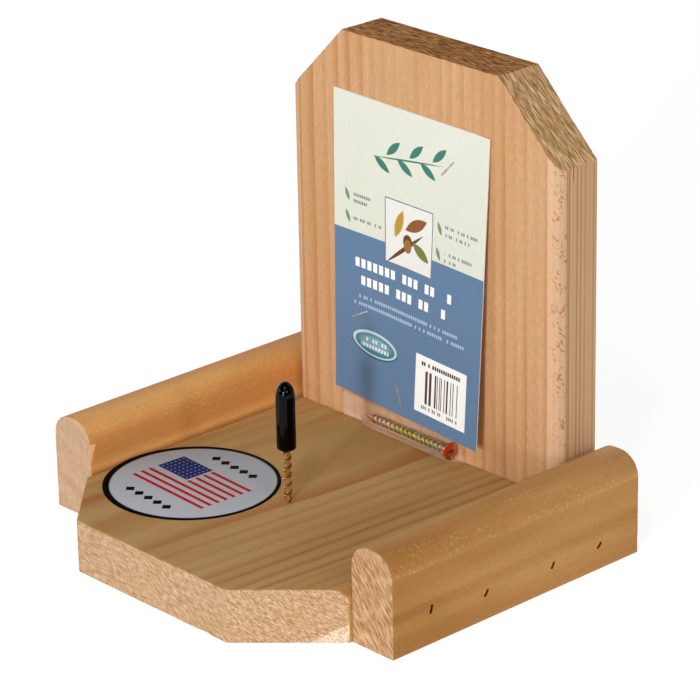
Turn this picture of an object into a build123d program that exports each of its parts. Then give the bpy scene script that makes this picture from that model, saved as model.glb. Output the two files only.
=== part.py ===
from build123d import *
from math import cos, radians, sin, tan
import os

# Squirrel platform feeder in cedar, in millimetres.
# X runs to the right, Y to the back and Z up. The origin lies on the ground,
# under the middle of the feeder's outer box.

# Platform board: lies flat, grain front to back, front corners clipped at 45 degrees
platform_width = 187.0
platform_depth = 204.0
platform_thickness = 27.0
platform_clip = 40.0
platform_edge_radius = 6.5

# Back board: stands on the platform's back, grain upright, top corners clipped
back_width = 184.0
back_height = 204.0
back_thickness = 27.0
back_clip = 38.5
back_edge_radius = 6.5

# Side rails: strips on edge against the platform's sides, flush with its back
rail_thickness = 27.0
rail_height = 50.8
rail_length = 162.5
rail_edge_radius = 11.5

# Corn screw: driven up through the platform, close to its middle line
corn_screw_side_shift = 1.4
corn_screw_setback = 85.9
corn_screw_diameter = 5.5
corn_screw_length = 86.2
corn_screw_head_diameter = 10.6
corn_screw_point_length = 8.0

# Vinyl cap over the corn screw's point
cap_diameter = 9.5
cap_length = 34.6
cap_dome_height = 8.0
# 0.55 makes the dome an ellipse, and less than that draws it to a leaner bullet
cap_dome_fullness = 0.5
cap_end_wall = 2.0
cap_mouth_radius = 1.0
cap_clearance = 0.3

# Screws from below that hold the back board
board_screw_diameter = 4.2
board_screw_length = 63.5
board_screw_head_diameter = 8.4
board_screw_point_length = 6.0
board_screw_spread = 110.0

# Every screw driven from below has its head this far inside the wood
screw_head_recess = 0.6

# Mounting hole through the back board, for the screw in the bag
mounting_hole_diameter = 5.2
mounting_hole_height = 138.0

# Mounting screw in the bag
mounting_screw_diameter = 4.8
mounting_screw_length = 63.5
mounting_screw_head_diameter = 9.2
mounting_screw_point_length = 7.0
mounting_screw_turn = 2.2

# T-head finish nails through the rails into the platform
nail_length = 50.0
nail_shank_width = 1.6
nail_shank_thickness = 1.4
nail_head_width = 3.6
nail_head_thickness = 1.2
nail_point_length = 2.0
nail_set = 1.5
# each nail's distance from its rail's front end, height and turn of its head
nail_places = ((24.3, 17.7, 16.0), (59.7, 13.7, 35.0), (103.8, 12.8, 30.0), (135.5, 12.6, 45.0))

# Card on the back board; past the line through its left and upper staples it leans forward
card_width = 108.4
card_height = 158.7
card_thickness = 0.4
card_side_shift = -6.5
card_middle_height = 93.5
card_tilt = 0.9
card_bend_radius = 170.0
card_lean = 4.9

# Card staples
staple_crown = 12.4
staple_leg = 8.0
staple_wire_width = 0.9
staple_wire_thickness = 0.5
# each staple's middle, from the card's left edge and the platform's top, and its slope
staple_places = {
    "upper": (80.7, 150.3, 45.0),
    "left": (17.5, 58.4, 29.0),
    "lower": (47.9, 24.5, -67.0),
}

# Round sticker on the platform
sticker_diameter = 87.0
sticker_thickness = 0.2
sticker_from_left = 45.9
sticker_from_front = 67.2

# Clear bag at the back board's foot: a pocket with a flat seal at each end
bag_pocket_length = 69.0
bag_pocket_middle = -8.5
bag_depth = 10.4
bag_height = 13.0
bag_film = 0.3
bag_seam = 1.5
bag_left_seal = 14.0
bag_right_seal = 3.5
bag_seal_thickness = 0.6
bag_crown_radius = 7.2
bag_foot_radius = 4.4
bag_screw_clearance = 0.2

# Planes that the pieces share
front_y = -platform_depth / 2
back_y = platform_depth / 2
board_face_y = back_y - back_thickness
platform_top = platform_thickness
side_x = platform_width / 2
rail_face_x = side_x + rail_thickness
rail_front_y = back_y - rail_length
card_left_x = card_side_shift - card_width / 2
corn_screw_y = front_y + corn_screw_setback
board_screw_y = back_y - back_thickness / 2

sides = {"left": -1, "right": 1}

# How far a cut runs past the face that it opens
cut_margin = 1.0


def clipped_board(width, thickness, length, edge_radius, clip):
    """A board along +Z with the long edges of its -Y face rounded and its top corners clipped."""
    section = Rectangle(width, thickness)
    face_corners = section.vertices().group_by(Axis.Y)[0]
    board = extrude(fillet(face_corners, edge_radius), length)
    reach = thickness / 2 + cut_margin
    for side in (-1, 1):
        corner_x = side * width / 2
        corner = Plane.XZ * make_face(
            Polyline(
                (corner_x, length),
                (corner_x - side * clip, length),
                (corner_x, length - clip),
                close=True,
            )
        )
        board -= extrude(corner, reach, both=True)
    return board


def rail_strip(side):
    """A rail with both top edges rounded; side is 1 on the right and -1 on the left."""
    section = Rectangle(rail_thickness, rail_height, align=(Align.CENTER, Align.MIN))
    top_corners = section.vertices().group_by(Axis.Y)[-1]
    section = fillet(top_corners, rail_edge_radius)
    middle_x = side * (side_x + rail_thickness / 2)
    return extrude(Plane((middle_x, back_y, 0), x_dir=(1, 0, 0), z_dir=(0, -1, 0)) * section, rail_length)


def flat_head_screw(diameter, length, head_diameter, point_length):
    """A screw along +Z with its flat head's face at Z = 0 and its point at Z = length."""
    shank = diameter / 2
    head = head_diameter / 2
    outline = Polyline(
        (0, 0),
        (head, 0),
        (shank, head - shank),
        (shank, length - point_length),
        (0, length),
        close=True,
    )
    return revolve(Plane.XZ * make_face(outline), Axis.Z)


def head_recess(x, y, head_diameter):
    """The shallow round recess under the platform that a screw's head leaves."""
    reach = screw_head_recess + cut_margin
    recess = Cylinder(head_diameter / 2, reach, align=(Align.CENTER, Align.CENTER, Align.MAX))
    return Pos(x, y, screw_head_recess) * recess


def finish_nail():
    """A T-head nail along -Z, its head's face at Z = 0 and the head's long side along X."""
    head = Pos(0, 0, -nail_head_thickness / 2) * Box(
        nail_head_width, nail_shank_thickness, nail_head_thickness
    )
    shank_end = nail_length - nail_point_length
    half = nail_shank_width / 2
    outline = Polyline(
        (-half, -nail_head_thickness),
        (half, -nail_head_thickness),
        (half, -shank_end),
        (0, -nail_length),
        (-half, -shank_end),
        close=True,
    )
    shank = extrude(Plane.XZ * make_face(outline), nail_shank_thickness / 2, both=True)
    return head + shank


def nail_slot():
    """The slot that a sunk nail leaves above its head."""
    depth = nail_set + cut_margin
    return Pos(0, 0, depth / 2) * Box(nail_head_width, nail_shank_thickness, depth)


def nail_plane(side, place):
    """Where a nail's head lies, with the head turned from upright by its own angle."""
    along, height, turn = place
    head_dir = (0, side * sin(radians(turn)), cos(radians(turn)))
    origin = (side * (rail_face_x - nail_set), rail_front_y + along, height)
    return Plane(origin, x_dir=head_dir, z_dir=(side, 0, 0))


def staple():
    """A staple with its crown along X on Z = 0 and its legs along -Z."""
    crown_z = staple_wire_thickness / 2
    crown = Pos(0, 0, crown_z) * Box(staple_crown, staple_wire_width, staple_wire_thickness)
    leg_x = (staple_crown - staple_wire_thickness) / 2
    leg_size = (staple_wire_thickness, staple_wire_width, staple_leg)
    leg = Box(*leg_size, align=(Align.CENTER, Align.CENTER, Align.MAX))
    return crown + Pos(-leg_x, 0, 0) * leg + Pos(leg_x, 0, 0) * leg


def card_bend():
    """Where the card starts to bend: x to its free side, y back into the board, z along the bend."""
    low_x, low_z, _ = staple_places["left"]
    high_x, high_z, _ = staple_places["upper"]
    bend_dir = (high_x - low_x, 0, high_z - low_z)
    free_dir = (bend_dir[2], 0, -bend_dir[0])
    bend_start = (card_left_x + low_x, board_face_y, platform_top + low_z)
    return Plane(bend_start, x_dir=free_dir, z_dir=bend_dir)


def staple_place(place):
    """Where a staple's crown lies on the card: flat on the board, or on the half that leans forward."""
    across, above, slope = place
    crown_dir = (cos(radians(slope)), 0, sin(radians(slope)))
    origin = (card_left_x + across, board_face_y - card_thickness, platform_top + above)
    flat = Plane(origin, x_dir=crown_dir, z_dir=(0, -1, 0))
    past = card_bend().to_local_coords(Vector(*origin)).X
    if past < card_bend_radius * radians(card_lean):
        return flat.location
    hinge = card_bend().location * Pos(card_bend_radius * tan(radians(card_lean / 2)), 0, 0)
    return hinge * Rot(0, 0, -card_lean) * hinge.inverse() * flat.location


def bent_card():
    """The card: flat on the board, then leaning forward past a line through two staples."""
    reach = card_width + card_height
    centre = (0, -card_bend_radius)
    outer_arc = CenterArc(centre, card_bend_radius, 90, -card_lean)
    inner_arc = CenterArc(centre, card_bend_radius - card_thickness, 90, -card_lean)
    lean = Vector(cos(radians(card_lean)), -sin(radians(card_lean))) * reach
    outer_end = outer_arc @ 1 + lean
    inner_end = inner_arc @ 1 + lean
    edges = [
        Line((-reach, 0), (0, 0)),
        outer_arc,
        Line(outer_arc @ 1, outer_end),
        Line(outer_end, inner_end),
        Line(inner_end, inner_arc @ 1),
        inner_arc,
        Line((0, -card_thickness), (-reach, -card_thickness)),
        Line((-reach, -card_thickness), (-reach, 0)),
    ]
    sheet = extrude(card_bend() * make_face(edges), reach, both=True)
    middle = (card_side_shift, board_face_y, platform_top + card_middle_height)
    top_edge_dir = (cos(radians(card_tilt)), 0, -sin(radians(card_tilt)))
    outline_plane = Plane(middle, x_dir=top_edge_dir, z_dir=(0, -1, 0))
    return sheet & extrude(outline_plane * Rectangle(card_width, card_height), card_width)


def bag_section(inset, floor):
    """The bag's section: x forward from the back board, y up from the platform."""
    depth = bag_depth - 2 * inset
    height = bag_height - inset - floor
    section = Pos(inset, floor) * Rectangle(depth, height, align=Align.MIN)
    front = section.vertices().group_by(Axis.X)[-1].sort_by(Axis.Y)
    section = fillet(front[-1], bag_crown_radius - inset)
    foot = section.vertices().group_by(Axis.Y)[0].sort_by(Axis.X)[-1]
    return fillet(foot, bag_foot_radius - inset)


def clear_bag():
    """The bag: a hollow pocket at the board's foot and a flat seal at each end."""
    foot = (bag_pocket_middle, board_face_y, platform_top)
    section_plane = Plane(foot, x_dir=(0, -1, 0), z_dir=(-1, 0, 0))
    half = bag_pocket_length / 2
    bag = extrude(section_plane * bag_section(0, 0), half, both=True)
    hollow = extrude(section_plane * bag_section(bag_film, bag_seam), half - bag_film, both=True)
    seals = bag_left_seal + bag_pocket_length + bag_right_seal
    seal_strip = Box(seals, bag_seal_thickness, bag_height, align=(Align.MIN, Align.MAX, Align.MIN))
    bag += Pos(bag_pocket_middle - half - bag_left_seal, board_face_y, platform_top) * seal_strip
    return bag - hollow


def bagged_screw():
    """The mounting screw along X in the bag, its head to the right and its point near the board."""
    head_reach = mounting_screw_head_diameter / 2 + bag_screw_clearance
    head_y = board_face_y - bag_film - head_reach
    head_z = platform_top + bag_seam + head_reach
    head_x = bag_pocket_middle + bag_pocket_length / 2 - bag_film - bag_screw_clearance
    turn = radians(mounting_screw_turn)
    head_plane = Plane((head_x, head_y, head_z), x_dir=(0, 0, 1), z_dir=(-cos(turn), sin(turn), 0))
    return head_plane * flat_head_screw(
        mounting_screw_diameter,
        mounting_screw_length,
        mounting_screw_head_diameter,
        mounting_screw_point_length,
    )


def vinyl_cap():
    """The cap: a tube with a bullet-shaped end, its bore closed over the corn screw's point."""
    radius = cap_diameter / 2
    bore = corn_screw_diameter / 2 + cap_clearance
    point_z = screw_head_recess + corn_screw_length
    bore_end = point_z + cap_clearance
    top = bore_end + cap_end_wall
    mouth = top - cap_length
    dome_foot = top - cap_dome_height
    outside = [
        Line((0, mouth), (radius - cap_mouth_radius, mouth)),
        CenterArc((radius - cap_mouth_radius, mouth + cap_mouth_radius), cap_mouth_radius, -90, 90),
        Line((radius, mouth + cap_mouth_radius), (radius, dome_foot)),
        Bezier(
            (radius, dome_foot),
            (radius, dome_foot + cap_dome_fullness * cap_dome_height),
            (cap_dome_fullness * radius, top),
            (0, top),
        ),
        Line((0, top), (0, mouth)),
    ]
    inside = [
        Line((0, mouth), (bore, mouth)),
        Line((bore, mouth), (bore, bore_end - bore)),
        CenterArc((0, bore_end - bore), bore, 0, 90),
        Line((0, bore_end), (0, mouth)),
    ]
    shell = make_face(outside) - make_face(inside)
    return Pos(corn_screw_side_shift, corn_screw_y, 0) * revolve(Plane.XZ * shell, Axis.Z)


# Fasteners, each in its place
corn_screw = Pos(corn_screw_side_shift, corn_screw_y, screw_head_recess) * flat_head_screw(
    corn_screw_diameter, corn_screw_length, corn_screw_head_diameter, corn_screw_point_length
)
board_screws = {
    name: Pos(side * board_screw_spread / 2, board_screw_y, screw_head_recess)
    * flat_head_screw(
        board_screw_diameter, board_screw_length, board_screw_head_diameter, board_screw_point_length
    )
    for name, side in sides.items()
}
nails = {
    name: [nail_plane(side, place) * finish_nail() for place in nail_places]
    for name, side in sides.items()
}
staples = {name: staple_place(place) * staple() for name, place in staple_places.items()}

# Wooden pieces, bored for their fasteners; the platform's rounded face is turned up
face_up = Rot(90, 0, 0) * Rot(0, 0, 180)
platform_board = Pos(0, back_y, platform_thickness / 2) * face_up * clipped_board(
    platform_width, platform_thickness, platform_depth, platform_edge_radius, platform_clip
)
back_board = Pos(0, board_screw_y, platform_top) * clipped_board(
    back_width, back_thickness, back_height, back_edge_radius, back_clip
)
platform_board -= corn_screw + head_recess(corn_screw_side_shift, corn_screw_y, corn_screw_head_diameter)
for name, side in sides.items():
    screw_x = side * board_screw_spread / 2
    screw = board_screws[name]
    platform_board -= screw + head_recess(screw_x, board_screw_y, board_screw_head_diameter)
    back_board -= screw
for wire in staples.values():
    back_board -= wire
hole_middle = Plane((0, board_screw_y, platform_top + mounting_hole_height), z_dir=(0, 1, 0))
back_board -= hole_middle * Cylinder(mounting_hole_diameter / 2, back_thickness + 2 * cut_margin)
rails = {}
for name, side in sides.items():
    rail = rail_strip(side)
    for place, nail in zip(nail_places, nails[name]):
        rail -= nail + nail_plane(side, place) * nail_slot()
        platform_board -= nail
    rails[name] = rail

# Card, sticker and bag
label_card = bent_card()
for wire in staples.values():
    label_card -= wire
sticker_x = -side_x + sticker_from_left
sticker_y = front_y + sticker_from_front
round_sticker = Pos(sticker_x, sticker_y, platform_top) * Cylinder(
    sticker_diameter / 2, sticker_thickness, align=(Align.CENTER, Align.CENTER, Align.MIN)
)

pieces = {
    "platform_board": platform_board,
    "back_board": back_board,
    "corn_screw": corn_screw,
    "screw_cap": vinyl_cap(),
    "label_card": label_card,
    "round_sticker": round_sticker,
    "hardware_bag": clear_bag(),
    "mounting_screw": bagged_screw(),
}
for name, rail in rails.items():
    pieces[f"{name}_rail"] = rail
    for number, nail in enumerate(nails[name], start=1):
        pieces[f"{name}_rail_nail_{number}"] = nail
for name, screw in board_screws.items():
    pieces[f"back_board_screw_{name}"] = screw
for name, wire in staples.items():
    pieces[f"card_staple_{name}"] = wire

os.makedirs("parts", exist_ok=True)
for name, piece in pieces.items():
    export_step(piece, f"parts/{name}.step")
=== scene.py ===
import logging
import math
from collections.abc import Iterable, Sequence
from dataclasses import dataclass, field
from enum import Enum
from functools import partial, reduce

import bmesh
import bpy
from mathutils import Euler, Matrix, Vector, noise


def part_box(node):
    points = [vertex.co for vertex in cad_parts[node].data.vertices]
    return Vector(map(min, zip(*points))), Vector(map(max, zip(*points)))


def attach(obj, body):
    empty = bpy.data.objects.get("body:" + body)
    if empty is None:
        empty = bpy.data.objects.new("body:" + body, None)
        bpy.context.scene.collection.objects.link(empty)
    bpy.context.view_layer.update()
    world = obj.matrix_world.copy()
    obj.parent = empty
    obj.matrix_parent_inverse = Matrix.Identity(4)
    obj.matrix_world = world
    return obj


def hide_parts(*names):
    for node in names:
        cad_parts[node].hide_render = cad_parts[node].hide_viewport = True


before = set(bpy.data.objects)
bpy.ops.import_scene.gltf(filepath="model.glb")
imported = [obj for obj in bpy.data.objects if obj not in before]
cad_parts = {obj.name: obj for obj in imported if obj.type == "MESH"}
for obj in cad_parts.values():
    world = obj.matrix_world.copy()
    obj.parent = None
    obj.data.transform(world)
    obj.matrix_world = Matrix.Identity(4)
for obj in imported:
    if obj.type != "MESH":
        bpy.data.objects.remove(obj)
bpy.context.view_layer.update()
LOG = logging.getLogger("feeder")

MM = 0.001
MERGE = 1e-6
FEEDER = "feeder"
CAP = "cap"
WHITE = (1.0, 1.0, 1.0, 1.0)
QUARTER = math.pi / 2
RIGHT, BACK, UP = AXES = (Vector((1.0, 0.0, 0.0)), Vector((0.0, 1.0, 0.0)), Vector((0.0, 0.0, 1.0)))

BMesh = bmesh.types.BMesh
BMEdge = bmesh.types.BMEdge
BMFace = bmesh.types.BMFace
BMVert = bmesh.types.BMVert
Colour = tuple[float, float, float, float]
Material = bpy.types.Material
Piece = bpy.types.Object
Socket = bpy.types.NodeSocket
Feed = Socket | float | Sequence[float]


def tone(red: int, green: int, blue: int) -> Colour:
    """Turns a colour as a screen shows it, 0 to 255, into linear light.

    Args:
        red: The red level.
        green: The green level.
        blue: The blue level.

    Returns:
        The linear colour with full alpha.
    """
    levels = [level / 255 for level in (red, green, blue)]
    linear = [v / 12.92 if v <= 0.04045 else ((v + 0.055) / 1.055) ** 2.4 for v in levels]
    return (*linear, 1.0)


def facing(azimuth: float, elevation: float) -> Vector:
    """Gives the way to a place round the feeder, in degrees: 0 is in front and 90 on the right."""
    turn, rise = math.radians(azimuth), math.radians(elevation)
    return Vector((math.sin(turn) * math.cos(rise), -math.cos(turn) * math.cos(rise), math.sin(rise)))


class NodeSheet:
    """The nodes of a material or of the world, with short ways to add and join them."""

    def __init__(self, owner: Material | bpy.types.World) -> None:
        """Opens the owner's nodes.

        Args:
            owner: The new material or world.
        """
        self.owner = owner
        owner.use_nodes = True
        self.tree = owner.node_tree

    @classmethod
    def named(cls, name: str) -> "NodeSheet":
        """Starts a material whose surface is one Principled shader."""
        return cls(bpy.data.materials.new(name))

    def feed(self, socket: Socket, value: Feed) -> None:
        """Joins a socket to another one, or sets its plain value.

        Args:
            socket: The socket.
            value: The other socket, or the value.
        """
        if isinstance(value, bpy.types.NodeSocket):
            self.tree.links.new(value, socket)
        else:
            socket.default_value = value

    def add(self, kind: str, inputs: dict[str | int, Feed], **settings: object) -> bpy.types.Node:
        """Adds a node.

        Args:
            kind: The node's type.
            inputs: What goes into its sockets, by name or number.
            settings: The node's own options.

        Returns:
            The new node.
        """
        node = self.tree.nodes.new(kind)
        for option, value in settings.items():
            setattr(node, option, value)
        for key, value in inputs.items():
            self.feed(node.inputs[key], value)
        return node

    def math(self, operation: str, *values: Feed) -> Socket:
        """Adds a Math node and gives its result."""
        return self.add("ShaderNodeMath", dict(enumerate(values)), operation=operation).outputs[0]

    def product(self, *values: Feed) -> Socket:
        """Multiplies numbers together."""
        return reduce(partial(self.math, "MULTIPLY"), values)

    def vector(self, operation: str, *values: Feed) -> Socket:
        """Adds a Vector Math node and gives the result that the operation has."""
        node = self.add("ShaderNodeVectorMath", dict(enumerate(values)), operation=operation)
        return node.outputs["Value" if operation in ("LENGTH", "DOT_PRODUCT") else "Vector"]

    def mapped(self, vector: Feed, kind: str = "POINT", **inputs: Feed) -> Socket:
        """Changes coordinates by a Mapping node's Location, Rotation and Scale."""
        return self.add("ShaderNodeMapping", {"Vector": vector, **inputs}, vector_type=kind).outputs[0]

    def along_grain(self, vector: Feed, share: float) -> Socket:
        """Stretches a pattern along the grain, which runs along Z."""
        return self.mapped(vector, Scale=(1.0, 1.0, share))

    def place(self) -> Socket:
        """Gives the piece's own coordinates, in metres."""
        return self.add("ShaderNodeTexCoord", {}).outputs["Object"]

    def print_place(self, layer: str) -> Socket:
        """Gives the coordinates of a piece's own UV map."""
        return self.add("ShaderNodeUVMap", {}, uv_map=layer).outputs["UV"]

    def parts(self, vector: Socket) -> tuple[Socket, Socket, Socket]:
        """Splits a vector into its three numbers."""
        node = self.add("ShaderNodeSeparateXYZ", {0: vector})
        return node.outputs[0], node.outputs[1], node.outputs[2]

    def joined(self, *values: Feed) -> Socket:
        """Makes a vector of three numbers."""
        return self.add("ShaderNodeCombineXYZ", dict(enumerate(values))).outputs[0]

    def cloud(self, vector: Feed, scale: float, detail: float, roughness: float = 0.5) -> bpy.types.Node:
        """Adds a Noise Texture, whose first output is its level and second its colour."""
        inputs = {"Vector": vector, "Scale": scale, "Detail": detail, "Roughness": roughness}
        return self.add("ShaderNodeTexNoise", inputs)

    def level(self, vector: Feed, scale: float, detail: float, roughness: float = 0.5) -> Socket:
        """Gives a Noise Texture's level, from 0 to 1."""
        return self.cloud(vector, scale, detail, roughness).outputs[0]

    def within(self, value: Feed, count: float) -> Socket:
        """Gives the place inside a cell, from 0 to 1, where a count of cells runs from -1 to 1."""
        return self.math("FRACT", self.math("MULTIPLY_ADD", value, count / 2, count / 2))

    def most(self, *values: Feed) -> Socket:
        """Gives the greatest of several numbers."""
        return reduce(partial(self.math, "MAXIMUM"), values)

    def scatter(self, number: Feed) -> Socket:
        """Gives a steady random level for each number."""
        return self.add("ShaderNodeTexWhiteNoise", {"W": number}, noise_dimensions="1D").outputs["Value"]

    def smooth(self, value: Feed, low: float, high: float, first: float = 0.0, last: float = 1.0) -> Socket:
        """Eases from the first level to the last one while a value goes from low to high."""
        inputs = {"Value": value, "From Min": low, "From Max": high, "To Min": first, "To Max": last}
        return self.add("ShaderNodeMapRange", inputs, interpolation_type="SMOOTHSTEP").outputs["Result"]

    def blend(self, share: Feed, first: Feed, last: Feed) -> Socket:
        """Lays a share of the last colour over the first one."""
        node = self.add("ShaderNodeMix", {0: share, 6: first, 7: last}, data_type="RGBA")
        return node.outputs[2]

    def dim(self, colour: Feed, brightness: Socket) -> Socket:
        """Makes a colour brighter or darker."""
        inputs = {0: 1.0, 6: colour, 7: brightness}
        return self.add("ShaderNodeMix", inputs, data_type="RGBA", blend_type="MULTIPLY").outputs[2]

    def bump(self, height: Socket, distance: float, strength: float = 1.0) -> Socket:
        """Turns a height from 0 to 1 into a normal, where 1 stands out by a distance in metres."""
        inputs = {"Height": height, "Distance": distance, "Strength": strength}
        return self.add("ShaderNodeBump", inputs).outputs[0]

    def surface(self, **inputs: Feed) -> Material:
        """Sets the shader's sockets, whose names have _ for a space.

        Args:
            inputs: What goes into each socket.

        Returns:
            The material.
        """
        for name, value in inputs.items():
            self.feed(self.tree.nodes["Principled BSDF"].inputs[name.replace("_", " ")], value)
        return self.owner


class Grain(Enum):
    """The way that a board's fibres run: the axis, and the turn that brings it upright."""

    FRONT_TO_BACK = (1, (QUARTER, 0.0, 0.0))
    UPRIGHT = (2, (0.0, 0.0, 0.0))

    @property
    def axis(self) -> int:
        """The number of the axis along the fibres."""
        return self.value[0]

    @property
    def turn(self) -> tuple[float, float, float]:
        """The rotation that brings the fibres to Z."""
        return self.value[1]


class Wear(Enum):
    """What the planer left on long grain."""

    SMOOTH = "smooth"
    FLECKED = "flecked"
    TORN = "torn"


@dataclass(frozen=True)
class CedarWood:
    """The wood of one board: where its rings lie and the colours that it shows.

    The late wood's span gives where in a ring it starts, is darkest and ends. Pitches
    are features for each metre, and a drift is a pitch and its share of the waver.
    """

    name: str
    grain: Grain
    pith: Vector
    ring: float
    waver: float
    early: Colour
    late: Colour
    blush: Colour
    fleck: Colour
    late_span: tuple[float, float, float] = (0.3, 0.9, 0.96)
    uneven: float = 0.8
    lean: float = 0.0
    stretch: float = 0.22
    line_strength: float = 0.66
    lip: float | None = None
    gleam: float = 0.16
    drifts: tuple[tuple[float, float], ...] = ((17.0, 2.0), (75.0, 0.5))
    swing_pitch: float = 70.0
    fibre_pitch: float = 900.0
    speck_pitch: float = 1500.0
    patch_pitch: float = 34.0
    ebb_pitch: float = 24.0
    tick_pitch: float = 900.0
    cluster_pitch: float = 110.0
    blotch_pitch: float = 150.0
    torn_from: tuple[float, float] = (162.0 * MM, 166.0 * MM)
    side_from: tuple[float, float] = (91.2 * MM, 91.8 * MM)
    side_pale: Colour = tone(212, 178, 142)
    side_band: Colour = tone(168, 116, 66)

    def upright(self, sheet: NodeSheet) -> Socket:
        """Turns a sheet's coordinates so that they run from the pith, with the fibres along Z.

        Args:
            sheet: The material's nodes.

        Returns:
            The coordinates.
        """
        pith = Matrix.Rotation(self.grain.turn[0], 3, "X") @ self.pith
        turned = sheet.mapped(sheet.place(), Rotation=self.grain.turn)
        return sheet.mapped(sheet.vector("SUBTRACT", turned, tuple(pith)), Rotation=(0.0, self.lean, 0.0))

    def rings(self, sheet: NodeSheet, upright: Socket) -> Socket:
        """Adds the growth rings to a sheet.

        Args:
            sheet: The material's nodes.
            upright: Coordinates from the pith.

        Returns:
            The late wood's share.
        """
        bent = upright
        for scale, share in self.drifts:
            drift = sheet.cloud(sheet.along_grain(upright, self.stretch), scale, 1.0).outputs[1]
            drift = sheet.vector("SUBTRACT", drift, (0.5, 0.5, 0.5))
            bent = sheet.vector("ADD", bent, sheet.vector("MULTIPLY", drift, (share * self.waver,) * 3))
        radius = sheet.vector("LENGTH", sheet.vector("MULTIPLY", bent, (1.0, 1.0, 0.0)))
        inputs = {"W": radius, "Scale": self.swing_pitch}
        swing = sheet.add("ShaderNodeTexNoise", inputs, noise_dimensions="1D")
        swing = sheet.product(swing.outputs[0], self.uneven)
        years = sheet.math("MULTIPLY_ADD", radius, 1 / self.ring, swing)
        within = sheet.math("FRACT", years)
        start, peak, end = self.late_span
        strength = sheet.smooth(sheet.scatter(sheet.math("FLOOR", years)), 0.0, 1.0, 0.25, 1.0)
        fall = sheet.smooth(within, end, 1.0, 1.0, 0.0)
        return sheet.product(sheet.smooth(within, start, peak), fall, strength)

    def tear_out(self, sheet: NodeSheet) -> Socket:
        """Marks where the planer tore a rounded edge: slanting ticks in clusters, and a few blotches.

        Args:
            sheet: The material's nodes.

        Returns:
            Where they are, from 0 to 1.
        """
        across, back, up = sheet.parts(sheet.place())
        way_round = sheet.math("ADD", sheet.math("ABSOLUTE", across), back)
        along = sheet.math("MULTIPLY_ADD", way_round, 0.55, sheet.product(up, -0.7))
        aside = sheet.math("MULTIPLY_ADD", way_round, 0.55, sheet.product(up, 0.7))
        ticks = sheet.level(sheet.joined(sheet.product(along, 0.5), aside, 0.0), self.tick_pitch, 1.0)
        flat = sheet.joined(way_round, up, 0.0)
        cluster = sheet.smooth(sheet.level(flat, self.cluster_pitch, 2.0), 0.44, 0.58, 0.1, 1.0)
        blotch = sheet.smooth(sheet.level(flat, self.blotch_pitch, 3.0, 0.65), 0.62, 0.68)
        torn = sheet.product(sheet.smooth(ticks, 0.55, 0.63), cluster)
        inside = sheet.smooth(way_round, *self.torn_from, 0.12, 1.0)
        return sheet.product(sheet.most(torn, blotch), inside)

    def planed(self, wear: Wear) -> Material:
        """Makes the finish of planed long grain.

        Args:
            wear: What the planer left on it.

        Returns:
            The material.
        """
        sheet = NodeSheet.named(f"{self.name}_{wear.value}")
        upright = self.upright(sheet)
        late = self.rings(sheet, upright)
        fibre = sheet.level(sheet.along_grain(upright, 0.02), self.fibre_pitch, 3.0, 0.65)
        speck = sheet.level(sheet.along_grain(upright, 0.3), self.speck_pitch, 2.0, 0.6)
        patches = sheet.level(sheet.along_grain(upright, 0.2), self.patch_pitch, 3.0)
        ebb = sheet.level(sheet.along_grain(upright, 0.3), self.ebb_pitch, 1.0)
        colour = sheet.blend(sheet.smooth(patches, 0.35, 0.68), self.early, self.blush)
        most = self.line_strength
        streak = sheet.product(late, sheet.smooth(ebb, 0.3, 0.65, 0.4 * most, most))
        colour = sheet.blend(streak, colour, self.late)
        brightness = sheet.math("MULTIPLY_ADD", fibre, 0.22, 0.67)
        brightness = sheet.math("MULTIPLY_ADD", speck, 0.44, brightness)
        colour = sheet.dim(colour, brightness)
        height = sheet.math("MULTIPLY_ADD", late, 0.3, fibre)
        if wear is Wear.FLECKED:
            ticks = sheet.smooth(sheet.level(sheet.along_grain(upright, 1.7), 560.0, 1.0), 0.58, 0.68)
            rows = sheet.smooth(sheet.level(sheet.along_grain(upright, 0.12), 190.0, 1.0), 0.42, 0.6)
            chips = sheet.product(ticks, rows)
            colour = sheet.blend(sheet.product(chips, 0.4), colour, self.fleck)
            height = sheet.math("ADD", height, chips)
        if wear is Wear.TORN:
            torn = self.tear_out(sheet)
            colour = sheet.blend(0.55, colour, self.fleck)
            # Torn spots take the late wood's dark colour: partly the torn wood's own colour, partly painted
            # shade in the tear-out pits.
            colour = sheet.blend(sheet.product(torn, 0.85), colour, self.late)
            height = sheet.math("MULTIPLY_ADD", torn, -3.0, height)
        if self.lip is not None and wear is Wear.SMOOTH:
            colour = self.side_wash(sheet, colour, late)
        rough = sheet.smooth(fibre, 0.2, 0.8, 0.55, 0.72)
        normal = sheet.bump(height, 0.1 * MM, 0.7)
        return sheet.surface(
            Base_Color=colour, Roughness=rough, Normal=normal, Specular_IOR_Level=self.gleam
        )

    def side_wash(self, sheet: NodeSheet, colour: Socket, late: Socket) -> Socket:
        """Dulls a board's sides, and paints the shade of the small step that the rounding cutter left on
        them as a thin dark line.

        Args:
            sheet: The material's nodes.
            colour: The wood's colour.
            late: The late wood's share.

        Returns:
            The colour with its sides changed.
        """
        across, back, _ = sheet.parts(sheet.place())
        side = sheet.smooth(sheet.math("ABSOLUTE", across), *self.side_from, 0.0, 0.45)
        colour = sheet.blend(side, colour, self.side_pale)
        colour = sheet.blend(sheet.product(late, side, 1.5), colour, self.side_band)
        # Painted shade: a thin dark line where the cutter's small step runs.
        off = sheet.math("ABSOLUTE", sheet.math("SUBTRACT", back, self.lip))
        return sheet.blend(sheet.smooth(off, 0.15 * MM, 0.55 * MM, 0.85, 0.0), colour, self.late)


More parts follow.
